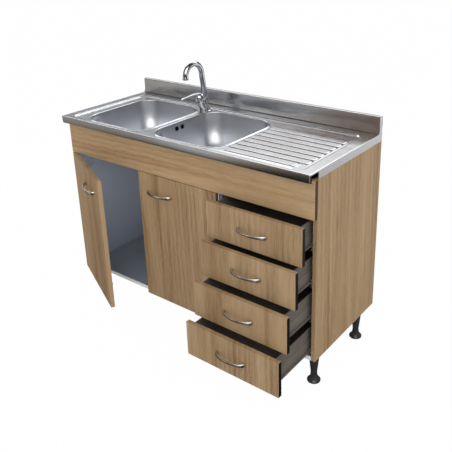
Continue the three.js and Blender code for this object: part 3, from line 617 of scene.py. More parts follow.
def bowl_edge(cx, grow, z, radius=80.0, front_in=0.0):
    """A bowl's outline; its front wall can be drawn in."""
    width, depth = (size + 2 * grow for size in BOWL_SIZE)
    return ring(width, depth - front_in, radius + grow, z, cx, BOWL_Y + front_in / 2, steps=10, straight=4)


def ridge_height(x, y):
    """Height of the drainer above the pan: eight flat swellings with rounded ends."""
    if not (DRAIN_X[0] <= x <= DRAIN_X[1] and 40 < y < 360):
        return 0.0
    middle = min(DRAIN_LINES, key=lambda line: abs(line - y))
    left, right = FRONT_RIDGE_X if middle == DRAIN_LINES[0] else DRAIN_X
    dx = abs(x - (left + right) / 2) - (right - left) / 2 + RIDGE_CORNER
    dy = abs(y - middle) - RIDGE_HALF - RIDGE_EDGE / 2 + RIDGE_CORNER
    outside = math.hypot(max(dx, 0), max(dy, 0)) + min(max(dx, dy), 0) - RIDGE_CORNER
    t = min(max(-outside / RIDGE_EDGE, 0), 1)
    return settings().metal.ridge_height / MM * t * t * (3 - 2 * t)


def drainer_points():
    """Points that follow the ridges closely enough to show their edges."""
    ends = [0, 0.8, 1.6, 2.4, 3.2, 4.4, 6, 8, 11, 17, 30]
    offsets = [0, 8, 13.0, 15.3, 15.9, 16.5, 17.1, 17.7, 18.2, RIDGE_HALF + RIDGE_EDGE / 2 - 0.02]
    xs = {DRAIN_X[0] + (DRAIN_X[1] - DRAIN_X[0]) * k / 8 for k in range(1, 8)}
    for left, right in (DRAIN_X, FRONT_RIDGE_X):
        xs |= {left + e for e in ends} | {right - e for e in ends}
    ys = [line + side * o for line in DRAIN_LINES for side in (1, -1) for o in offsets[side < 0:]]
    return [(x, y) for x in sorted(xs) for y in ys]


def fold_path(inset, z):
    """The worktop's edge in plan, from the left end's back round the front to the right end's back."""
    r = max(FOLD_R - inset, 0.0)
    x = HALF_W - inset
    half = [Vector((-x, y, z)) for y in (RISE_Y, 250, 52)]
    half += [Vector((-x + r - r * math.cos(a), inset + r - r * math.sin(a), z)) for a in angles(5, math.pi / 2)]
    return half + [Vector((-p.x, p.y, p.z)) for p in reversed(half)]


def worktop():
    """The pressed sheet: rim, recessed pan, drainer, beads, folded apron, flanges and upstand."""
    s = Shape()
    x = HALF_W - FOLD_R
    s.sheet([(sx, y, WORKTOP_H) for sx, y in ((-x, FOLD_R), (x, FOLD_R), (x, RISE_Y), (-x, RISE_Y))],
            [pan_edge(6.0, WORKTOP_H)])
    # The pressed step from the rim down to the pan, as (offset, depth).
    s.tube([pan_edge(g, WORKTOP_H + dz) for g, dz in (
        (6.0, 0.0), (4.6, 0.0), (3.6, -0.25), (2.6, -0.9), (1.4, -2.0), (0.2, -3.1), (-0.8, -3.75),
        (-1.8, -4.0), (-3.2, -4.0))])
    holes = [bowl_edge(cx, 9.4, PAN_H) for cx in BOWLS.values()] + [circle(17.6, PAN_H, TAP.x, TAP.y)]
    s.sheet(pan_edge(-3.2, PAN_H), holes, drainer_points(), ridge_height)
    # Raised beads round the bowls.
    bead = [(9.4, 0.0), (8.0, 0.0), (7.2, 0.25), (6.3, 0.9), (5.3, 1.7), (4.3, 2.15), (3.3, 2.3), (2.3, 2.1),
            (1.3, 1.5), (0.5, 0.6), (0.1, -0.4), (0.0, -1.3)]
    for cx in BOWLS.values():
        s.tube([bowl_edge(cx, g, PAN_H + dz) for g, dz in bead])
    # Rounded edge along the front and both ends, then the apron with its hem, as (y, z).
    rounds = [(3.0 - 3.0 * math.sin(a), -3.0 + 3.0 * math.cos(a)) for a in angles(6, math.pi / 2)]
    s.tube([fold_path(i, WORKTOP_H + dz) for i, dz in [(4.0, 0.0), *rounds, (0.0, -4.5)]], open_side=True)
    rows = [[Vector((p.x, p.y + y if y < 3 else y, z)) for p in fold_path(0.0, z) if p.y < 4.01] for y, z in (
        (0.0, 845.5), (0.0, 840.5), (0.1, 837.0), (0.35, 833.0), (0.75, 829.0), (1.2, 825.6), (1.7, 823.2),
        (2.3, 821.6), (3.2, 820.5), (4.4, 820.0), (11.4, 820.0), (11.4, 821.2), (11.4, 844.0))]
    s.tube(rows[:-1], open_side=True)
    # Painted shade: the hem's inner return is drawn near-black, for the shade inside the fold.
    s.tone = 1
    s.tube(rows[-2:], open_side=True)
    s.tone = 0
    # The rise to the upstand, and the upstand itself, its ends slightly drawn in.
    front, back = UPSTAND_Y
    rise = [(RISE_Y, WORKTOP_H), (476.0, WORKTOP_H), *bend(476, 854, 4, 270, 360)[1:], (front, 858)]
    s.run(rise, -HALF_W + 1.4, HALF_W - 1.4, closed=False)
    wall = [(front, 858.0), (front, 880.0), *bend(front + 4.5, UPSTAND_TOP - 4.5, 4.5, 180, 90),
            *bend(back - 4.5, UPSTAND_TOP - 4.5, 4.5, 90, 0),
            (back, 880.0), (back, 820.4), (back - 1, 820.4), (back - 1, 858.0)]
    stations = [(-HALF_W, 1.6), (-HALF_W + 0.5, 0.6), (-HALF_W + 1.6, 0.0)]
    stations += [(-x, i) for x, i in reversed(stations)]
    centre = (front + back) / 2
    s.skin([[Vector((x, y + (math.copysign(inset, centre - y) if abs(centre - y) > 8 else 0),
                     z - (inset if z > UPSTAND_TOP - 5 else 0))) for y, z in wall] for x, inset in stations])
    # End flanges: folded down the carcass, swept up to close the upstand's ends.
    flange = [(52.5, 846.6), (52.5, 821.0), (53.5, 820.2), (499.0, 820.2), (499.6, 821.0), (499.6, 862.0),
              (480.4, 864.6), *bend(466, 864, 14, 0, -90, 7)[1:], (300.0, 849.0), (60.0, 846.6)]
    flange = [(y, min(z, 850.2) if y < 470 else z) for y, z in flange]
    for start in (-HALF_W + 0.03, HALF_W - 1.25):
        s.run(flange, start, start + 1.22)
    return s


class SINKUNIT_OT_worktop(bpy.types.Operator):
    """Build the stainless worktop with its drainer, beads and upstand"""
    bl_idname = "sink_unit.worktop"
    bl_label = "Worktop"

    def execute(self, context):
        metal = settings().metal
        finish = kept("stainless_satin", steel, tuple(metal.steel_colour), metal.steel_roughness, grooves=True)
        # Near-black finish for the hem's inner return: painted shade inside the fold.
        fold = kept("fold_inside", moulded, (0.05, 0.045, 0.04), 0.8, gloss=0.1)
        make("worktop_sheet", worktop(), [finish, fold], "cabinet", ["sink_top"], crease=28,
             facing_up=(0, 30, PAN_H))
        return {"FINISHED"}


# ------------------------------------------------------------------ bowls and wastes
def bowl_shell(cx):
    """A pressed bowl with drawn-in walls, a soft floor falling to the drain, and its rim flange."""
    def rim(grow, down, front_in=0.0):
        return bowl_edge(cx, grow, BOWL_TOP - down, 80, front_in)

    def low(grow, up, radius=80.0):
        return bowl_edge(cx, grow, BOWL_FLOOR + up, radius, 21)

    def drain(*profile):
        return [ring(2 * r, 2 * r, r, BOWL_FLOOR + up, cx, BOWL_Y, steps=10, straight=4) for r, up in profile]

    wall = [rim(0.0, 0), rim(-0.6, 5, 4), low(-3, 128.5), low(-8, 96), low(-15, 66, 84), low(-27, 38, 92),
            low(-43, 18, 100), low(-60, 7.5, 104), low(-78, 2.8, 100), *drain((92, 1.0), (60, -0.2), (48, -1.0))]
    inner = eased(wall, settings().metal.bowl_smoothness)
    inner += drain((45.6, -1.2), (44.2, -2.0), (43.4, -2.8), (31, -3))
    outer = drain((31, -4.2), (61, -1.4))
    outer += [low(-70, 2.2, 98), low(-51, 9, 102), low(-34, 22, 96), low(-19, 46, 88), low(-10, 72, 84),
              low(-6, 97), low(-1.6, 128.5), rim(1.2, 3.4, 1), rim(8, 1.2), rim(8, 0.1), rim(0.6, 0)]
    return Shape().skin(inner + outer, looped=True)


def slot_cutters(cx):
    """Rounded blocks that cut the two overflow slots."""
    s = Shape()
    wall_x = cx - BOWL_SIZE[0] / 2
    for y in (192.0, 224.0):
        s.skin([[Vector((x, p.x, p.y)) for p in ring(20, 17, 5, 0, y, SLOT_Z, steps=4)]
                for x in (wall_x - 8, wall_x + 12)])
    return s


class SINKUNIT_OT_bowls(bpy.types.Operator):
    """Build both bowls, with the overflow slots in the right one"""
    bl_idname = "sink_unit.bowls"
    bl_label = "Bowls"

    def execute(self, context):
        metal = settings().metal
        # Painted light: the bowls' steel is a slightly lighter, bluer copy of the worktop's, for the
        # bluish-white light they reflect.
        cool = tuple(c * f for c, f in zip(metal.steel_colour, (1.01, 1.02, 1.035)))
        finish = kept("stainless_bowl", steel, cool, metal.steel_roughness + 0.15, wave=0.0001, brushed=False)
        crease = 34
        left, right = (make("bowl_shell_" + side, bowl_shell(cx), finish, "cabinet", ["bowl_" + side],
                            crease=crease) for side, cx in BOWLS.items())
        cutter = make("overflow_cutter", slot_cutters(BOWLS["right"]), finish, "cabinet")
        cut = right.modifiers.new("overflow slots", "BOOLEAN")
        cut.operation = "DIFFERENCE"
        cut.object = cutter
        cut.solver = "EXACT"
        done = bpy.data.meshes.new_from_object(right.evaluated_get(context.evaluated_depsgraph_get()))
        right.modifiers.clear()
        right.data = done
        bpy.data.objects.remove(cutter)
        done.shade_smooth()
        done.set_sharp_from_angle(angle=math.radians(crease))
        return {"FINISHED"}


SEAT = BOWL_FLOOR - 2.7
TAIL = BOWL_FLOOR - 48
GRID = SEAT - 7.2
GRID_THICK = 1.6


def waste(cx):
    """Strainer waste: dished flange, grid, threaded body, back nut and tail."""
    s = Shape()
    # Radius, and height from the seat: tail, thread and nut, then the flange and the throat.
    profile = [(17, TAIL - SEAT), (20, TAIL - SEAT), (20, -24), (25, -23)]
    for k in reversed(range(7)):
        profile += [(29.4, -10.2 - 1.6 * k), (28.6, -9.4 - 1.6 * k)]
    profile += [(29, -9), (38, -9), (39, -8), (39, -3), (38, -2), (30, -2), (30, 0), (42.4, 1.0), (43, 1.5),
                (42.5, 2.2), (40.5, 2.6), (37.0, 2.3), (33.0, 1.7), (30, 1.0), (28.2, -0.2), (27.2, -2.0),
                (27, -4), (27, -18), (17, -22)]
    s.skin([circle(r, SEAT + z, cx, BOWL_Y, 48) for r, z in profile], looped=True)
    # The grid, from both sides: a hole in the middle and two rounds of holes.
    loops = [circle(27.2, GRID, cx, BOWL_Y, 48), circle(3.2, GRID, cx, BOWL_Y, 14)]
    for distance, count, r in ((10, 6, 2.6), (19, 12, 2.9)):
        for i in range(count):
            at = polar(distance, (i + 0.5) / count * math.tau)
            loops.append(circle(r, GRID, cx + at.x, BOWL_Y + at.y, 12))
    below = [[p - Vector((0, 0, GRID_THICK)) for p in loop] for loop in loops]
    s.sheet(loops[0], loops[1:])
    s.sheet(below[0], below[1:])
    for loop, lower in zip(loops[1:], below[1:]):
        s.tube([loop, lower])
    return s


class SINKUNIT_OT_wastes(bpy.types.Operator):
    """Build the strainer wastes in the bowls' drains"""
    bl_idname = "sink_unit.wastes"
    bl_label = "Wastes"

    def execute(self, context):
        finish = kept("waste_steel", polished, (0.80, 0.80, 0.80), 0.14)
        for side, cx in BOWLS.items():
            make("strainer_" + side, waste(cx), finish, "cabinet", ["waste_" + side])
        return {"FINISHED"}


# ------------------------------------------------------------------ pipes under the bowls
PIPE_Z = 611.0
ELBOW_R = 26.0
TRAP_X = sum(BOWLS.values()) / 2
TRAP_AT = Matrix.Translation((TRAP_X, BOWL_Y, 0))
OUTLET_AT = Matrix.Translation((TRAP_X, BOWL_Y, 520)) @ Matrix.Rotation(math.radians(-90), 4, "X")


def knurled(s, cx, cy, low, high, r, ribs=18):
    """A plastic nut with ribs down its side."""
    count = ribs * 4
    levels = (low, 1.2), (low + 1, 0.2), (low + 2, 0), (high - 2, 0), (high - 1, 0.2), (high, 1.2)
    s.skin([[Vector((cx, cy, z)) + polar(1, i / count * math.tau) * (r - shrink - (0.9 if i % 4 < 2 else 0.0))
             for i in range(count)] for z, shrink in levels])


def cross_pipe():
    """Two elbows up to the wastes and a tee down to the trap."""
    s = Shape()
    left = BOWLS["left"]
    path = [Vector((left, BOWL_Y, TAIL - down)) for down in (0.3, 9)]
    path += [Vector((left + ELBOW_R * (1 - math.cos(a)), BOWL_Y, PIPE_Z + ELBOW_R * (1 - math.sin(a))))
             for a in angles(8, math.pi / 2)]
    path += [Vector((2 * TRAP_X - p.x, p.y, p.z)) for p in reversed(path)]
    s.tube(along(path, 20, 28, BACKWARDS))
    s.turn([(20, 571), (20, PIPE_Z)], 28, TRAP_AT)
    s.turn([(22.5, 573), (23, 574), (23, 579), (22.5, 580)], 28, TRAP_AT)
    for cx in BOWLS.values():
        knurled(s, cx, BOWL_Y, TAIL - 22, TAIL - 0.4, 26)
    return s


def bottle_trap():
    """Bottle trap with a screwed cup, an inlet nut and the outlet to the back."""
    s = Shape()
    s.turn([(0, 440), (20, 440), (25, 441.5), (29, 445), (31, 449), (31.4, 452), (31.4, 474), (29.6, 477),
            (29.4, 479), (29.8, 481), (29.8, 538), (28.6, 542), (26, 545.5), (22, 546), (22, 548)], 44, TRAP_AT)
    knurled(s, TRAP_X, BOWL_Y, 453, 474, 33, 20)
    knurled(s, TRAP_X, BOWL_Y, 548, 570.4, 25.8, 16)
    first = len(s.points)
    s.skin([circle(r, z, count=32) for r, z in (
        (20, 20), (20, 32), (19.6, 34), (19.6, 279), (19.2, 280), (17, 280), (17, 20))], looped=True)
    knurled(s, 0, 0, 33, 52, 25, 16)
    return s.moved(OUTLET_AT, first)


def overflow():
    """Overflow duct: a hood on the bowl's wall and a pipe down between the bowls."""
    s = Shape()
    wall_x = BOWLS["right"] - BOWL_SIZE[0] / 2
    pipe_x = wall_x - 17

    def hood(grow, x, r):
        return [Vector((x, p.x, p.y)) for p in ring(60 + 2 * grow, 29 + 2 * grow, r, 0, 208, SLOT_Z, steps=4)]

    mouth = hood(-1.8, wall_x - 1.6, 3)
    s.skin([hood(-1.2, pipe_x - 9, 3), hood(-0.3, pipe_x - 8.6, 4), hood(0, pipe_x - 7.6, 4),
            hood(0, wall_x - 1.8, 4), hood(-0.6, wall_x - 1.6, 4), mouth], caps=(True, False))
    # Painted shade: the hood's inside behind the slots, closed off and near-black.
    s.tone = 1
    s.skin([mouth, hood(-1.8, pipe_x - 7.2, 3)], caps=(False, True))
    s.tone = 0
    # Down beside the wall and under the bowl to the waste: x from the pipe's top, z from the floor.
    path = [Vector((pipe_x + x, y, BOWL_FLOOR + z)) for x, y, z in (
        (0, 208, 114.8), (0, 208, 60), (0, 208, -12), (1.6, 208.3, -20), (6, 209, -29), (13, 210.5, -35),
        (22, 212.4, -37), (124.5, BOWL_Y - 1, -37), (162.5, BOWL_Y, -37))]
    return s.skin(along(path, 8.4, 20, BACKWARDS))


class SINKUNIT_OT_plumbing(bpy.types.Operator):
    """Build the pipes, trap and overflow under the bowls"""
    bl_idname = "sink_unit.plumbing"
    bl_label = "Plumbing"

    def execute(self, context):
        colour = tuple(settings().plastic.pipe_colour)
        finish = kept("pipe_plastic", moulded, colour, 0.34, grain=500.0, depth=0.00002, variation=0.04)
        # Near-black finish for the hood's inside: painted shade behind the overflow slots.
        dark = kept("overflow_inside", moulded, (0.05, 0.05, 0.05), 0.7)
        for name, shape, finishes, node in (
                ("waste_pipes", cross_pipe(), finish, "cross_pipe"),
                ("trap_body", bottle_trap(), finish, "bottle_trap"),
                ("overflow_pipe", overflow(), [finish, dark], "overflow_duct")):
            make(name, shape, finishes, "cabinet", [node])
        return {"FINISHED"}


# ------------------------------------------------------------------ mixer tap
LEAN = math.radians(24)
LEAN_START = 8.0
DOME = 19.6
SPOUT_LEAN = 8.0  # degrees
SPOUT_Y = 19.0
SPOUT_RISE = 169.5
SPOUT_REACH = 48.5  # radius of the swan neck
SPOUT_R = 11.0


def up_lean(s):
    """A place on the leaning column's axis."""
    return TAP + Vector((0, -math.sin(LEAN) * s, LEAN_START + math.cos(LEAN) * s))


def up_spout(s):
    """A place on the spout's axis below its bow."""
    lean = math.radians(SPOUT_LEAN)
    return TAP + Vector((0, SPOUT_Y - math.sin(lean) * s, math.cos(lean) * s))


HUB = up_lean(60)
TILT = Matrix.Rotation(LEAN, 4, "X")
LEANING = Matrix.Translation(HUB) @ TILT


def tap_body():
    """Foot, leaning column with a collar, and the socket for the spout."""
    s = Shape()

    def leaning(*profile):
        return [[up_lean(at) + TILT @ p for p in circle(r, 0, count=48)] for r, at in profile]

    base = [[TAP + p for p in circle(r, z, 0, y, 48)] for r, y, z in (
        (21.5, 1.5, 0.0), (20.4, 0.8, 4.0), (19.7, -0.6, 9.0), (19.5, -4.0, 17.0))]
    s.skin(eased(base + leaning((19.5, 22), (19.7, 38), (19.9, 47.5)), 4)
           + leaning((19.6, 48.6), (18.9, 49.4), (17.6, 49.9)))
    s.skin([[TAP + p for p in ring(48 + 2 * grow, 54 + 2 * grow, 24 + grow, z, 0, 10, steps=12)]
            for grow, z in ((-0.6, 0), (0, 0.5), (0, 2.6), (-0.4, 3.8), (-1.3, 4.9), (-2.8, 5.7), (-5.0, 6.0))])
    socket = {2: 16.6, 8: 15.0, 16: 14.2, 26: 13.6, 38: 13.1, 50: 12.6, 57.5: 12.3, 59: 12.1, 60: 11.4}
    s.skin(along([up_spout(a) for a in socket], list(socket.values()), 40))
    return s.turn([(16, -42), (16, 1)], 32, Matrix.Translation(TAP))


def tap_spout():
    """Swan neck with its outlet ring and the bore."""
    s = Shape()
    r = SPOUT_R
    lean = math.radians(SPOUT_LEAN)
    centre = up_spout(SPOUT_RISE) - Vector((0, math.cos(lean), math.sin(lean))) * SPOUT_REACH
    bow = [Vector((TAP.x, y, z)) for y, z in bend(centre.y, centre.z, SPOUT_REACH, SPOUT_LEAN, 180, 30)]
    outlet = bow[-1]
    drops = {1.0: r, 1.3: r + 0.2, 1.8: r + 0.8, 6.6: r + 0.8, 7.6: r + 0.4, 8.0: r - 0.4}
    path = [up_spout(a) for a in (60.6, 61.4, 63, 110)] + bow + [outlet - Vector((0, 0, d)) for d in drops]
    radii = [r - 0.7, r - 0.1, r, r] + [r] * len(bow) + list(drops.values())
    bore = [path[0]] + bow[::3] + [path[-1]]
    s.skin(along(path, radii, 36) + list(reversed(along(bore, r - 2, 36))), looped=True)
    # Aerator in the outlet.
    return s.skin([[outlet + p for p in circle(q, -z, count=36)] for q, z in (
        (8.8, 3.0), (8.8, 7.2), (7.8, 7.6), (6.9, 6.4), (0.01, 6.2))], caps=(True, False))


def tap_cap():
    """The turning cap: a ball on a short neck."""
    arc = bend(0, 0, DOME, -25, 80, 21)
    start = arc[0][0]
    profile = [(0, -9.6), (start - 1, -9.6), (start - 0.3, -9.4), (start, -8.8), *arc, (0, DOME)]
    return Shape().turn(profile, 48, LEANING)


def tap_lever():
    """The lifting lever: a saddle over the cap and a tapered blade towards the user."""
    s = Shape()
    outer, inner = DOME + 2.9, DOME + 0.5
    over = bend(0, 0, outer, 6, 90, 14)
    under = bend(0, 0, inner, 90, 6, 14)
    lip = (outer - 0.9, over[0][1] - 0.2)
    s.turn([under[-1], lip, *over, (0.0, outer), (0.0, inner), *under], 48, LEANING)
    # Along the blade: distance in front of the hub, half width, thickness, height of its top.
    rows = [[HUB + Vector((p.x, -ahead, top - thick / 2 + p.y))
             for p in ring(2 * half, thick, thick / 2.1, 0, steps=5)] for ahead, half, thick, top in (
        (-2, 9.0, 3.0, 23.6), (6, 10.4, 7.0, 24.4), (20, 10.2, 8.2, 25.2), (36, 9.8, 8.6, 25.0),
        (52, 9.0, 8.3, 24.2), (70, 8.2, 7.6, 22.9), (86, 7.4, 6.9, 21.4), (97, 6.7, 6.2, 20.0),
        (103, 5.4, 4.8, 18.8), (105.6, 3.2, 2.8, 17.8))]
    return s.skin(eased(rows, 3))


class SINKUNIT_OT_tap(bpy.types.Operator):
    """Build the mixer tap: body, spout, cap, lever and fixing nut"""
    bl_idname = "sink_unit.tap"
    bl_label = "Mixer tap"

    def execute(self, context):
        chrome = kept("tap_chrome", polished, tuple(settings().metal.chrome_colour), 0.04)
        for name, shape, body, node in (
                ("mixer_body", tap_body(), "cabinet", "tap_body"),
                ("mixer_spout", tap_spout(), "spout", "tap_spout"),
                ("mixer_cap_ball", tap_cap(), "mixer_cap", "tap_cap"),
                ("mixer_handle", tap_lever(), "mixer_lever", "tap_lever")):
            make(name, shape, chrome, body, [node], crease=38)
        dress("tap_nut", zinc(), 0.0006)
        return {"FINISHED"}


# ------------------------------------------------------------------ boards
class SINKUNIT_OT_boards(bpy.types.Operator):
    """Give the carcass boards, fascia, doors and drawer fronts their finishes"""
    bl_idname = "sink_unit.boards"
    bl_label = "Boards"

    def execute(self, context):
        b = settings().boards
        grey = tuple(b.lining_colour)
        ajar = math.radians(DOOR_AJAR)
        free_edge = (math.cos(ajar), -math.sin(ajar), 0)
        right = (1, 0, 0)

        def veneer(node, name, **look):
            dress(node, oak("oak_" + name, b, **look), b.edge_round)

        # The side panels' inner faces are lining grey with painted light, lighter towards the worktop.
        for side, inward, seed in (("left", 1, 1.3), ("right", -1, 2.1)):
            veneer("side_panel_" + side, "side_" + side, turn=math.pi / 2, seed=seed,
                   plain=[((inward, 0, 0), grey)], inner_light=True)
        # The fascia is drawn lighter and the doors and drawer fronts darker, partly for their own tone and
        # partly as painted light and shade.
        veneer("fascia_panel", "fascia", grain="X", seed=3.4, tone_of=1.08, plain=[(right, b.fascia_end)])
        veneer("door_left", "door_left", turn=ajar, seed=4.2, tone_of=0.94, plain=[(free_edge, b.door_edge)])
        veneer("door_right", "door_right", seed=5.6, tone_of=0.90)
        for n in DRAWERS:
            veneer(f"drawer_front_{n}", f"front_{n}", seed=7.3 + 1.7 * n, tone_of=0.90,
                   plain=[(right, b.end_colour)])
        for node, name, colour, seed, banding in (
                ("bottom_panel", "bottom", shade(grey, 1.05), 0.0, tuple(b.banding_colour)),
                ("partition", "partition", grey, 2.3, (0.50, 0.48, 0.55)),
                ("rear_rail", "rail", grey, 4.6, None)):
            dress(node, lining("lining_" + name, colour, seed, banding), b.edge_round)
        dress("back_panel", hardboard("back_board", grey, (0.46, 0.34, 0.22)))
        return {"FINISHED"}


# ------------------------------------------------------------------ handles
def bow_handle(length=127.0, out=28.0):
    """A bow along X on the plane y = 0, reaching towards -Y."""
    half = length / 2 - 4
    reach = out - 3.1
    rows = []
    for a in angles(28, math.pi):
        flare = abs(math.cos(a)) ** 3
        thick, tall = 3.0 + 1.2 * flare, 5.2 + 2.3 * flare
        centre = Vector((-half * math.cos(a), -reach * math.sin(a), 0))
        across = Vector((reach * math.cos(a), half * math.sin(a), 0)).normalized()
        rows.append([centre + across * (-thick * math.cos(t)) + Vector((0, 0, tall * math.sin(t)))
                     for t in angles(18)[:-1]])
    return Shape().skin(rows)


class SINKUNIT_OT_handles(bpy.types.Operator):
    """Build the six bow handles"""
    bl_idname = "sink_unit.handles"
    bl_label = "Handles"

    def execute(self, context):
        nickel = kept("satin_nickel", polished, tuple(settings().metal.nickel_colour), 0.26)
        places = [("handle_door_" + side, "door_" + side) for side in ("left", "right")]
        places += [(f"drawer_handle_{n}", f"drawer_{n}") for n in DRAWERS]
        for node, body in places:
            s = bow_handle()
            if body == "door_left":
                s.moved(Matrix.Rotation(math.radians(-DOOR_AJAR), 4, "Z"))
            low, high = unit_box(node)
            xs, ys = ([p[axis] for p in s.points] for axis in (0, 1))
            middle = Vector((min(xs) + max(xs), min(ys) + max(ys), 0)) / 2
            s.moved(Matrix.Translation((low + high) / 2 - middle))
            make("bow_" + body, s, nickel, body, [node], crease=50)
        return {"FINISHED"}


# ------------------------------------------------------------------ hinges, trays, runners
class SINKUNIT_OT_hinges(bpy.types.Operator):
    """Finish the hinges"""
    bl_idname = "sink_unit.hinges"
    bl_label = "Hinges"

    def execute(self, context):
        # Painted light: the arms are drawn near-white rather than zinc grey, so they don't show dark against the
        # lining's painted light.
        painted_light_zinc = kept("zinc_arm", plated, (0.93, 0.95, 0.98), 0.5, metallic=0.1)
        for place in ("left_lower", "left_upper", "right_lower", "right_upper"):
            dress("hinge_cup_" + place, zinc(), 0.0002)
            dress("hinge_arm_" + place, painted_light_zinc, 0.0003)
        return {"FINISHED"}


def tray(low, high):
    """A moulded tray: rim lip, a lengthwise groove with ribs, and strips that ride the rollers."""
    s = Shape()
    cx, cy = ((low + high) / 2).xy
    width = high.x - low.x - 17
    depth = high.y - low.y
    base, rim = low.z, high.z
    # Up the outside, over the rim and down the inside: offset, and height from a level.
    profile = [(inset, level + dz) for level, part in (
        (base, ((3.4, 0), (2.0, 0.4), (0.9, 1.4), (0.5, 3))),
        ((base + rim) / 2, ((0.5, -4), (0.9, -3.2), (2.8, -2.2), (3.2, -1.4), (3.2, 1.8), (2.8, 2.6),
                            (2.0, 3.4), (1.8, 4.4))),
        (rim, ((1.8, -6), (1.5, -5), (0.3, -4.4), (0.0, -3.8), (0.0, -1.0), (0.5, -0.3), (1.2, 0), (4.2, 0),
               (5.0, -0.3), (5.4, -1.0))),
        (base, ((5.5, 6), (6.1, 4.2), (7.6, 3.2), (9.5, 3.0)))) for inset, dz in part]
    s.skin([ring(width - 2 * inset, depth - 2 * inset, max(8 - inset, 1.5), z, cx, cy, steps=4)
            for inset, z in profile])
    for side in (-1, 1):
        x0, x1 = sorted((cx + side * (width / 2 - 4), cx + side * (width / 2 + 8.4)))
        s.block((x0, cy - depth / 2 + 30, base), (x1, cy + depth / 2 - 4, base + 2.5))
    return s


class SINKUNIT_OT_trays(bpy.types.Operator):
    """Build the four moulded drawer trays"""
    bl_idname = "sink_unit.trays"
    bl_label = "Drawer trays"

    def execute(self, context):
        finish = kept("tray_plastic", moulded, tuple(settings().plastic.tray_colour), 0.5, gloss=0.22)
        for n in DRAWERS:
            node = f"drawer_tray_{n}"
            make(f"tray_{n}", tray(*unit_box(node)), finish, f"drawer_{n}", [node])
        return {"FINISHED"}


class SINKUNIT_OT_runners(bpy.types.Operator):
    """Finish the drawer runners"""
    bl_idname = "sink_unit.runners"
    bl_label = "Runners"

    def execute(self, context):
        finish = kept("runner_steel", plated, (0.80, 0.80, 0.80), 0.45)
        for n in DRAWERS:
            for side in ("left", "right"):
                dress(f"runner_{side}_{n}", finish, 0.0003)
        return {"FINISHED"}


# ------------------------------------------------------------------ legs
# As (radius, height): a tapered leg with a flared top and a fine ring at its foot, and a round pad
# swept up to it.
LEG = [(4.6, 34), (11.2, 34), (11.9, 34.6), (12.1, 36), (12.2, 38), (12.0, 39), (12.6, 46), (13.6, 54),
       (15.6, 74), (18.2, 100), (19.8, 114), (20.4, 118), (21.2, 121), (21.8, 124), (22, 126), (22, 129),
       (21.7, 129.7), (0, 129.7)]
PAD = [(0, 0), (23.4, 0), (24.5, 0.5), (25, 1.6), (25, 4.2), (24.6, 5.4), (23.4, 6.6), (21, 8.6), (18.4, 12),
       (16.2, 16), (14.4, 20.4), (13.2, 25), (12.6, 29), (12.5, 32), (12.1, 33.4), (11.4, 33.7), (4.2, 33.7),
       (4.2, 60), (0, 60)]


class SINKUNIT_OT_legs(bpy.types.Operator):
    """Build the four legs and their pads"""
    bl_idname = "sink_unit.legs"
    bl_label = "Legs"

    def execute(self, context):
        colour = tuple(settings().plastic.leg_colour)
        finish = kept("leg_plastic", moulded, colour, 0.26, grain=700.0, depth=0.00002)
        for where in ("front_left", "front_right", "rear_left", "rear_right"):
            low, high = unit_box("leg_" + where)
            at = Matrix.Translation(((low.x + high.x) / 2, (low.y + high.y) / 2, 0))
            for name, profile, body, node in (("leg_column_", LEG, "cabinet", "leg_"),
                                              ("leg_disc_", PAD, "foot_" + where, "leg_pad_")):
                make(name + where, Shape().turn(profile, 40, at), finish, body, [node + where])
        return {"FINISHED"}


# ------------------------------------------------------------------ stage
# What shiny surfaces reflect: azimuth and height of a soft panel in degrees, half its width and
# height and its blurred border as tangents, its colour and its strength. Later ones cover earlier.
PANELS = (
    (140, 18, 0.42, 0.30, 0.14, (0.98, 0.99, 1.00), 0.35),
    (122, 27.9, 0.19, 0.155, 0.03, (0.98, 0.99, 1.00), 1.55),
    (119, 12, 0.16, 0.122, 0.02, (1.00, 0.64, 0.33), 0.24),
    (120, 43, 0.92, 0.22, 0.08, (0.94, 0.965, 1.00), 3.60),
    (-134, 15, 0.34, 0.26, 0.12, (1.00, 0.95, 0.86), 0.30),
    (-125, 17, 0.07, 0.20, 0.03, (0.98, 0.99, 1.00), 1.70),
    (-109, 17, 0.22, 0.20, 0.03, (1.00, 0.50, 0.14), 0.30),
    (-72, 45, 0.50, 0.36, 0.10, (1.00, 1.00, 1.00), 1.30),
    (-20, 32, 0.16, 0.60, 0.03, (1.00, 1.00, 1.00), 1.40),
    (55, 30, 0.10, 0.55, 0.03, (0.95, 0.98, 1.00), 1.10),
)
SHADE = (0.075, 0.080, 0.090)  # the studio between the panels
WHITE = (1, 1, 1)
# The ground that shiny surfaces reflect: by distance, and by direction in degrees.
GROUND_REACH = ((0.0, (0.20, 0.18, 0.16)), (0.30, (0.86, 0.82, 0.78)), (1.0, (1.7, 1.7, 1.7)))
GROUND_SECTORS = (
    (-180, (0.30, 0.275, 0.25)), (-138, (0.30, 0.28, 0.255)), (-130, (0.60, 0.61, 0.62)),
    (-118, (0.74, 0.75, 0.76)), (-115, (0.32, 0.26, 0.20)), (-105, (0.27, 0.215, 0.17)),
    (-98, (0.07, 0.065, 0.06)), (-64, (0.05, 0.05, 0.05)), (-60, (0.95, 0.95, 0.95)),
    (-45, (0.95, 0.95, 0.95)), (-40, (0.04, 0.04, 0.04)), (15, (0.05, 0.05, 0.05)),
    (22, (0.35, 0.35, 0.36)), (33, (0.74, 0.75, 0.76)), (62, (0.78, 0.79, 0.80)), (70, (0.07, 0.07, 0.07)),
    (108, (0.07, 0.07, 0.07)), (116, (0.33, 0.31, 0.28)), (180, (0.30, 0.275, 0.25)))
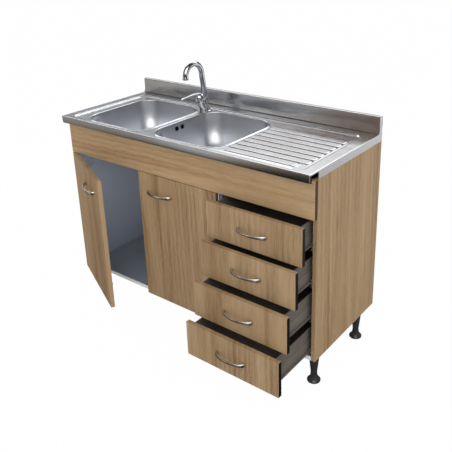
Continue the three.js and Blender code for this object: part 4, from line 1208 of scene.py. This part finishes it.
# Soft lights: place, what they point at, size, part of the main light's power, whether they glint.
LAMPS = {
    "key": ((1.6, -2.4, 3.2), (0, 0, 0.5), (2.6, 2.6), 1.0, True),
    "side": ((3.2, 0.6, 1.8), (0.2, 0, 0.5), (2.2, 2.2), 0.4, False),
    "front": ((-0.2, -3.4, 0.9), (0, 0, 0.7), (3.4, 1.6), 0.42, False),
}
FLOOR_HALF = 14.0
FLOOR_DROP = 0.0005
CAMERA_AT = (1.51139, -1.65569, 1.55385)
CAMERA_TOWARDS = (-0.57383, 0.74196, -0.34671)
CAMERA_ROLL = 1.447  # degrees
CAMERA_SHIFT = (-0.0388, -0.1472)


class Surroundings(Nodes):
    """Light that differs between what the camera sees, reflections and dull surfaces."""

    def __init__(self, owner):
        super().__init__(owner)
        self.tree.nodes.clear()
        self.place = self.add("TexCoord").outputs

    def end(self, output, lit, shiny, seen):
        path = self.add("LightPath").outputs
        shown = self.add("MixShader", path["Is Glossy Ray"], lit, shiny).outputs[0]
        shown = self.add("MixShader", path["Is Camera Ray"], shown, seen).outputs[0]
        self.add(output, shown)

    def panel(self, azimuth, height, half_width, half_height, blur):
        """1 inside a rectangle of the surroundings, 0 outside it."""
        az, el = math.radians(azimuth), math.radians(height)
        ahead, across, up = (self.dot(self.place["Generated"], axis) for axis in (
            (math.cos(el) * math.cos(az), math.cos(el) * math.sin(az), math.sin(el)),
            (-math.sin(az), math.cos(az), 0),
            (-math.sin(el) * math.cos(az), -math.sin(el) * math.sin(az), math.cos(el))))
        mask = self.math("GREATER_THAN", ahead, 0.02)
        for value, half in ((across, half_width), (up, half_height)):
            slope = self.math("ABSOLUTE", self.math("DIVIDE", value, ahead))
            mask = self.product(mask, self.span(
                slope, half - blur / 2, half + blur / 2, 1.0, 0.0, interpolation_type="SMOOTHSTEP"))
        return mask


def room_light(world, strength):
    """Surroundings: plain white where seen, even light on dull surfaces, soft panels on shiny ones."""
    s = Surroundings(world)
    colour = SHADE
    for *place, tone, power in PANELS:
        colour = s.mix(s.panel(*place), colour, tuple(c * power for c in tone))
    even, shiny, seen = (s.add("Background", *look).outputs[0] for look in (
        (WHITE, strength), (colour, 1.0), (WHITE, 1.0)))
    s.end("OutputWorld", even, shiny, seen)
    world.cycles.sampling_method = "NONE"


def floor_finish(colour):
    """Pale floor: white paper where seen, with shaded ground in what shiny surfaces reflect."""
    material = bpy.data.materials.new("studio_floor")
    s = Surroundings(material)
    place = s.place["Object"]
    paper = s.add("BsdfDiffuse", spread(colour)).outputs[0]
    glow = s.add("Emission", WHITE, 1.0).outputs[0]
    seen = s.add("MixShader", 0.985, paper, glow).outputs[0]
    speck = s.add("TexNoise", place, named={"Scale": 2.0}).outputs["Fac"]
    away = s.add("VectorMath", place, operation="LENGTH").outputs["Value"]
    away = s.math("ADD", away, s.product(speck, 0.3))
    # Dark close to the unit; round it, sectors of light and dark that draw the lines of polished pieces.
    parts = s.parts(place)
    round_about = s.span(s.math("ARCTAN2", parts["Y"], parts["X"]), -math.pi, math.pi, 0.0, 1.0)
    ground = s.add("VectorMath", s.ramp(s.span(away, 1.1, 4.6, 0.0, 1.0), GROUND_REACH),
                   s.ramp(round_about, [((d + 180) / 360, c) for d, c in GROUND_SECTORS]), operation="MULTIPLY")
    s.end("OutputMaterial", paper, s.add("Emission", ground.outputs["Vector"], 1.0).outputs[0], seen)
    material.cycles.emission_sampling = "NONE"
    return material


def soft_light(name, at, towards, size, power, glints):
    light = bpy.data.lights.new(name, "AREA")
    light.shape = "RECTANGLE"
    light.size, light.size_y = size
    light.energy = power
    lamp = bpy.data.objects.new(name, light)
    lamp.location = at
    lamp.rotation_euler = (Vector(towards) - Vector(at)).to_track_quat("-Z", "Y").to_euler()
    lamp.visible_camera = False
    lamp.visible_glossy = glints
    bpy.context.scene.collection.objects.link(lamp)


def main_view(lens):
    """The camera, as it stood for the photograph."""
    camera = bpy.data.cameras.new("camera")
    camera.sensor_width = 36.0
    camera.lens = lens
    camera.shift_x, camera.shift_y = CAMERA_SHIFT
    view = bpy.data.objects.new("camera", camera)
    forward = Vector(CAMERA_TOWARDS).normalized()
    level = Vector((forward.y, -forward.x, 0)).normalized()
    right = Matrix.Rotation(math.radians(CAMERA_ROLL), 3, forward) @ level
    turned = Matrix((right, right.cross(forward), -forward)).transposed()
    view.matrix_world = Matrix.Translation(CAMERA_AT) @ turned.to_4x4()
    return view


class SINKUNIT_OT_stage(bpy.types.Operator):
    """Set up the floor, the soft light and the camera"""
    bl_idname = "sink_unit.stage"
    bl_label = "Stage"

    def execute(self, context):
        studio = settings().stage
        scene = context.scene
        mesh = bpy.data.meshes.new("studio_floor")
        corners = ((-1, -1), (1, -1), (1, 1), (-1, 1))
        mesh.from_pydata([(sx * FLOOR_HALF, sy * FLOOR_HALF, 0) for sx, sy in corners], [], [(0, 1, 2, 3)])
        floor = bpy.data.objects.new("studio_floor", mesh)
        floor.location.z = -FLOOR_DROP
        mesh.materials.append(floor_finish(tuple(studio.floor_colour)))
        scene.collection.objects.link(floor)
        scene.world = scene.world or bpy.data.worlds.new("studio")
        room_light(scene.world, studio.sky_strength)
        for name, (at, towards, size, part, glints) in LAMPS.items():
            soft_light(name, at, towards, size, studio.key_power * part, glints)
        scene.view_settings.view_transform = "Standard"
        scene.view_settings.look = "None"
        scene.view_settings.exposure = 0.0
        scene.view_settings.gamma = 1.0
        scene.camera = main_view(studio.lens)
        scene.collection.objects.link(scene.camera)
        return {"FINISHED"}


# ------------------------------------------------------------------ add-on
class SinkUnitSettings(bpy.types.PropertyGroup):
    """All sizes and colours of the sink unit."""
    boards: PointerProperty(type=SinkUnitBoardSettings, name="Boards", description="Veneered and lined boards")
    metal: PointerProperty(type=SinkUnitMetalSettings, name="Metal", description="Worktop, tap and handles")
    plastic: PointerProperty(type=SinkUnitPlasticSettings, name="Plastic", description="Trays, feet and pipes")
    stage: PointerProperty(type=SinkUnitStageSettings, name="Stage", description="Floor, light and camera")


class SINKUNIT_PT_panel(bpy.types.Panel):
    """Lists the steps and the settings of the sink unit"""
    bl_label = "Sink unit"
    bl_idname = "SINKUNIT_PT_panel"
    bl_space_type = "VIEW_3D"
    bl_region_type = "UI"
    bl_category = "Sink unit"

    def draw(self, context):
        layout = self.layout
        for step in STEPS:
            layout.operator("sink_unit." + step)
        for group in SinkUnitSettings.__annotations__:
            box = layout.box()
            box.label(text=group.capitalize())
            holder = getattr(settings(), group)
            for name in holder.__annotations__:
                box.prop(holder, name)


STEPS = {
    "stage": SINKUNIT_OT_stage, "boards": SINKUNIT_OT_boards, "worktop": SINKUNIT_OT_worktop,
    "bowls": SINKUNIT_OT_bowls, "wastes": SINKUNIT_OT_wastes, "plumbing": SINKUNIT_OT_plumbing,
    "tap": SINKUNIT_OT_tap, "handles": SINKUNIT_OT_handles, "hinges": SINKUNIT_OT_hinges,
    "trays": SINKUNIT_OT_trays, "runners": SINKUNIT_OT_runners, "legs": SINKUNIT_OT_legs,
}
CLASSES = (SinkUnitBoardSettings, SinkUnitMetalSettings, SinkUnitPlasticSettings, SinkUnitStageSettings,
           SinkUnitSettings, *STEPS.values(), SINKUNIT_PT_panel)


def register():
    for item in CLASSES:
        bpy.utils.register_class(item)
    bpy.types.Scene.sink_unit = PointerProperty(type=SinkUnitSettings)


def unregister():
    del bpy.types.Scene.sink_unit
    for item in reversed(CLASSES):
        bpy.utils.unregister_class(item)


def main():
    register()
    for step in STEPS:
        getattr(bpy.ops.sink_unit, step)()


if __name__ == "__main__":
    main()
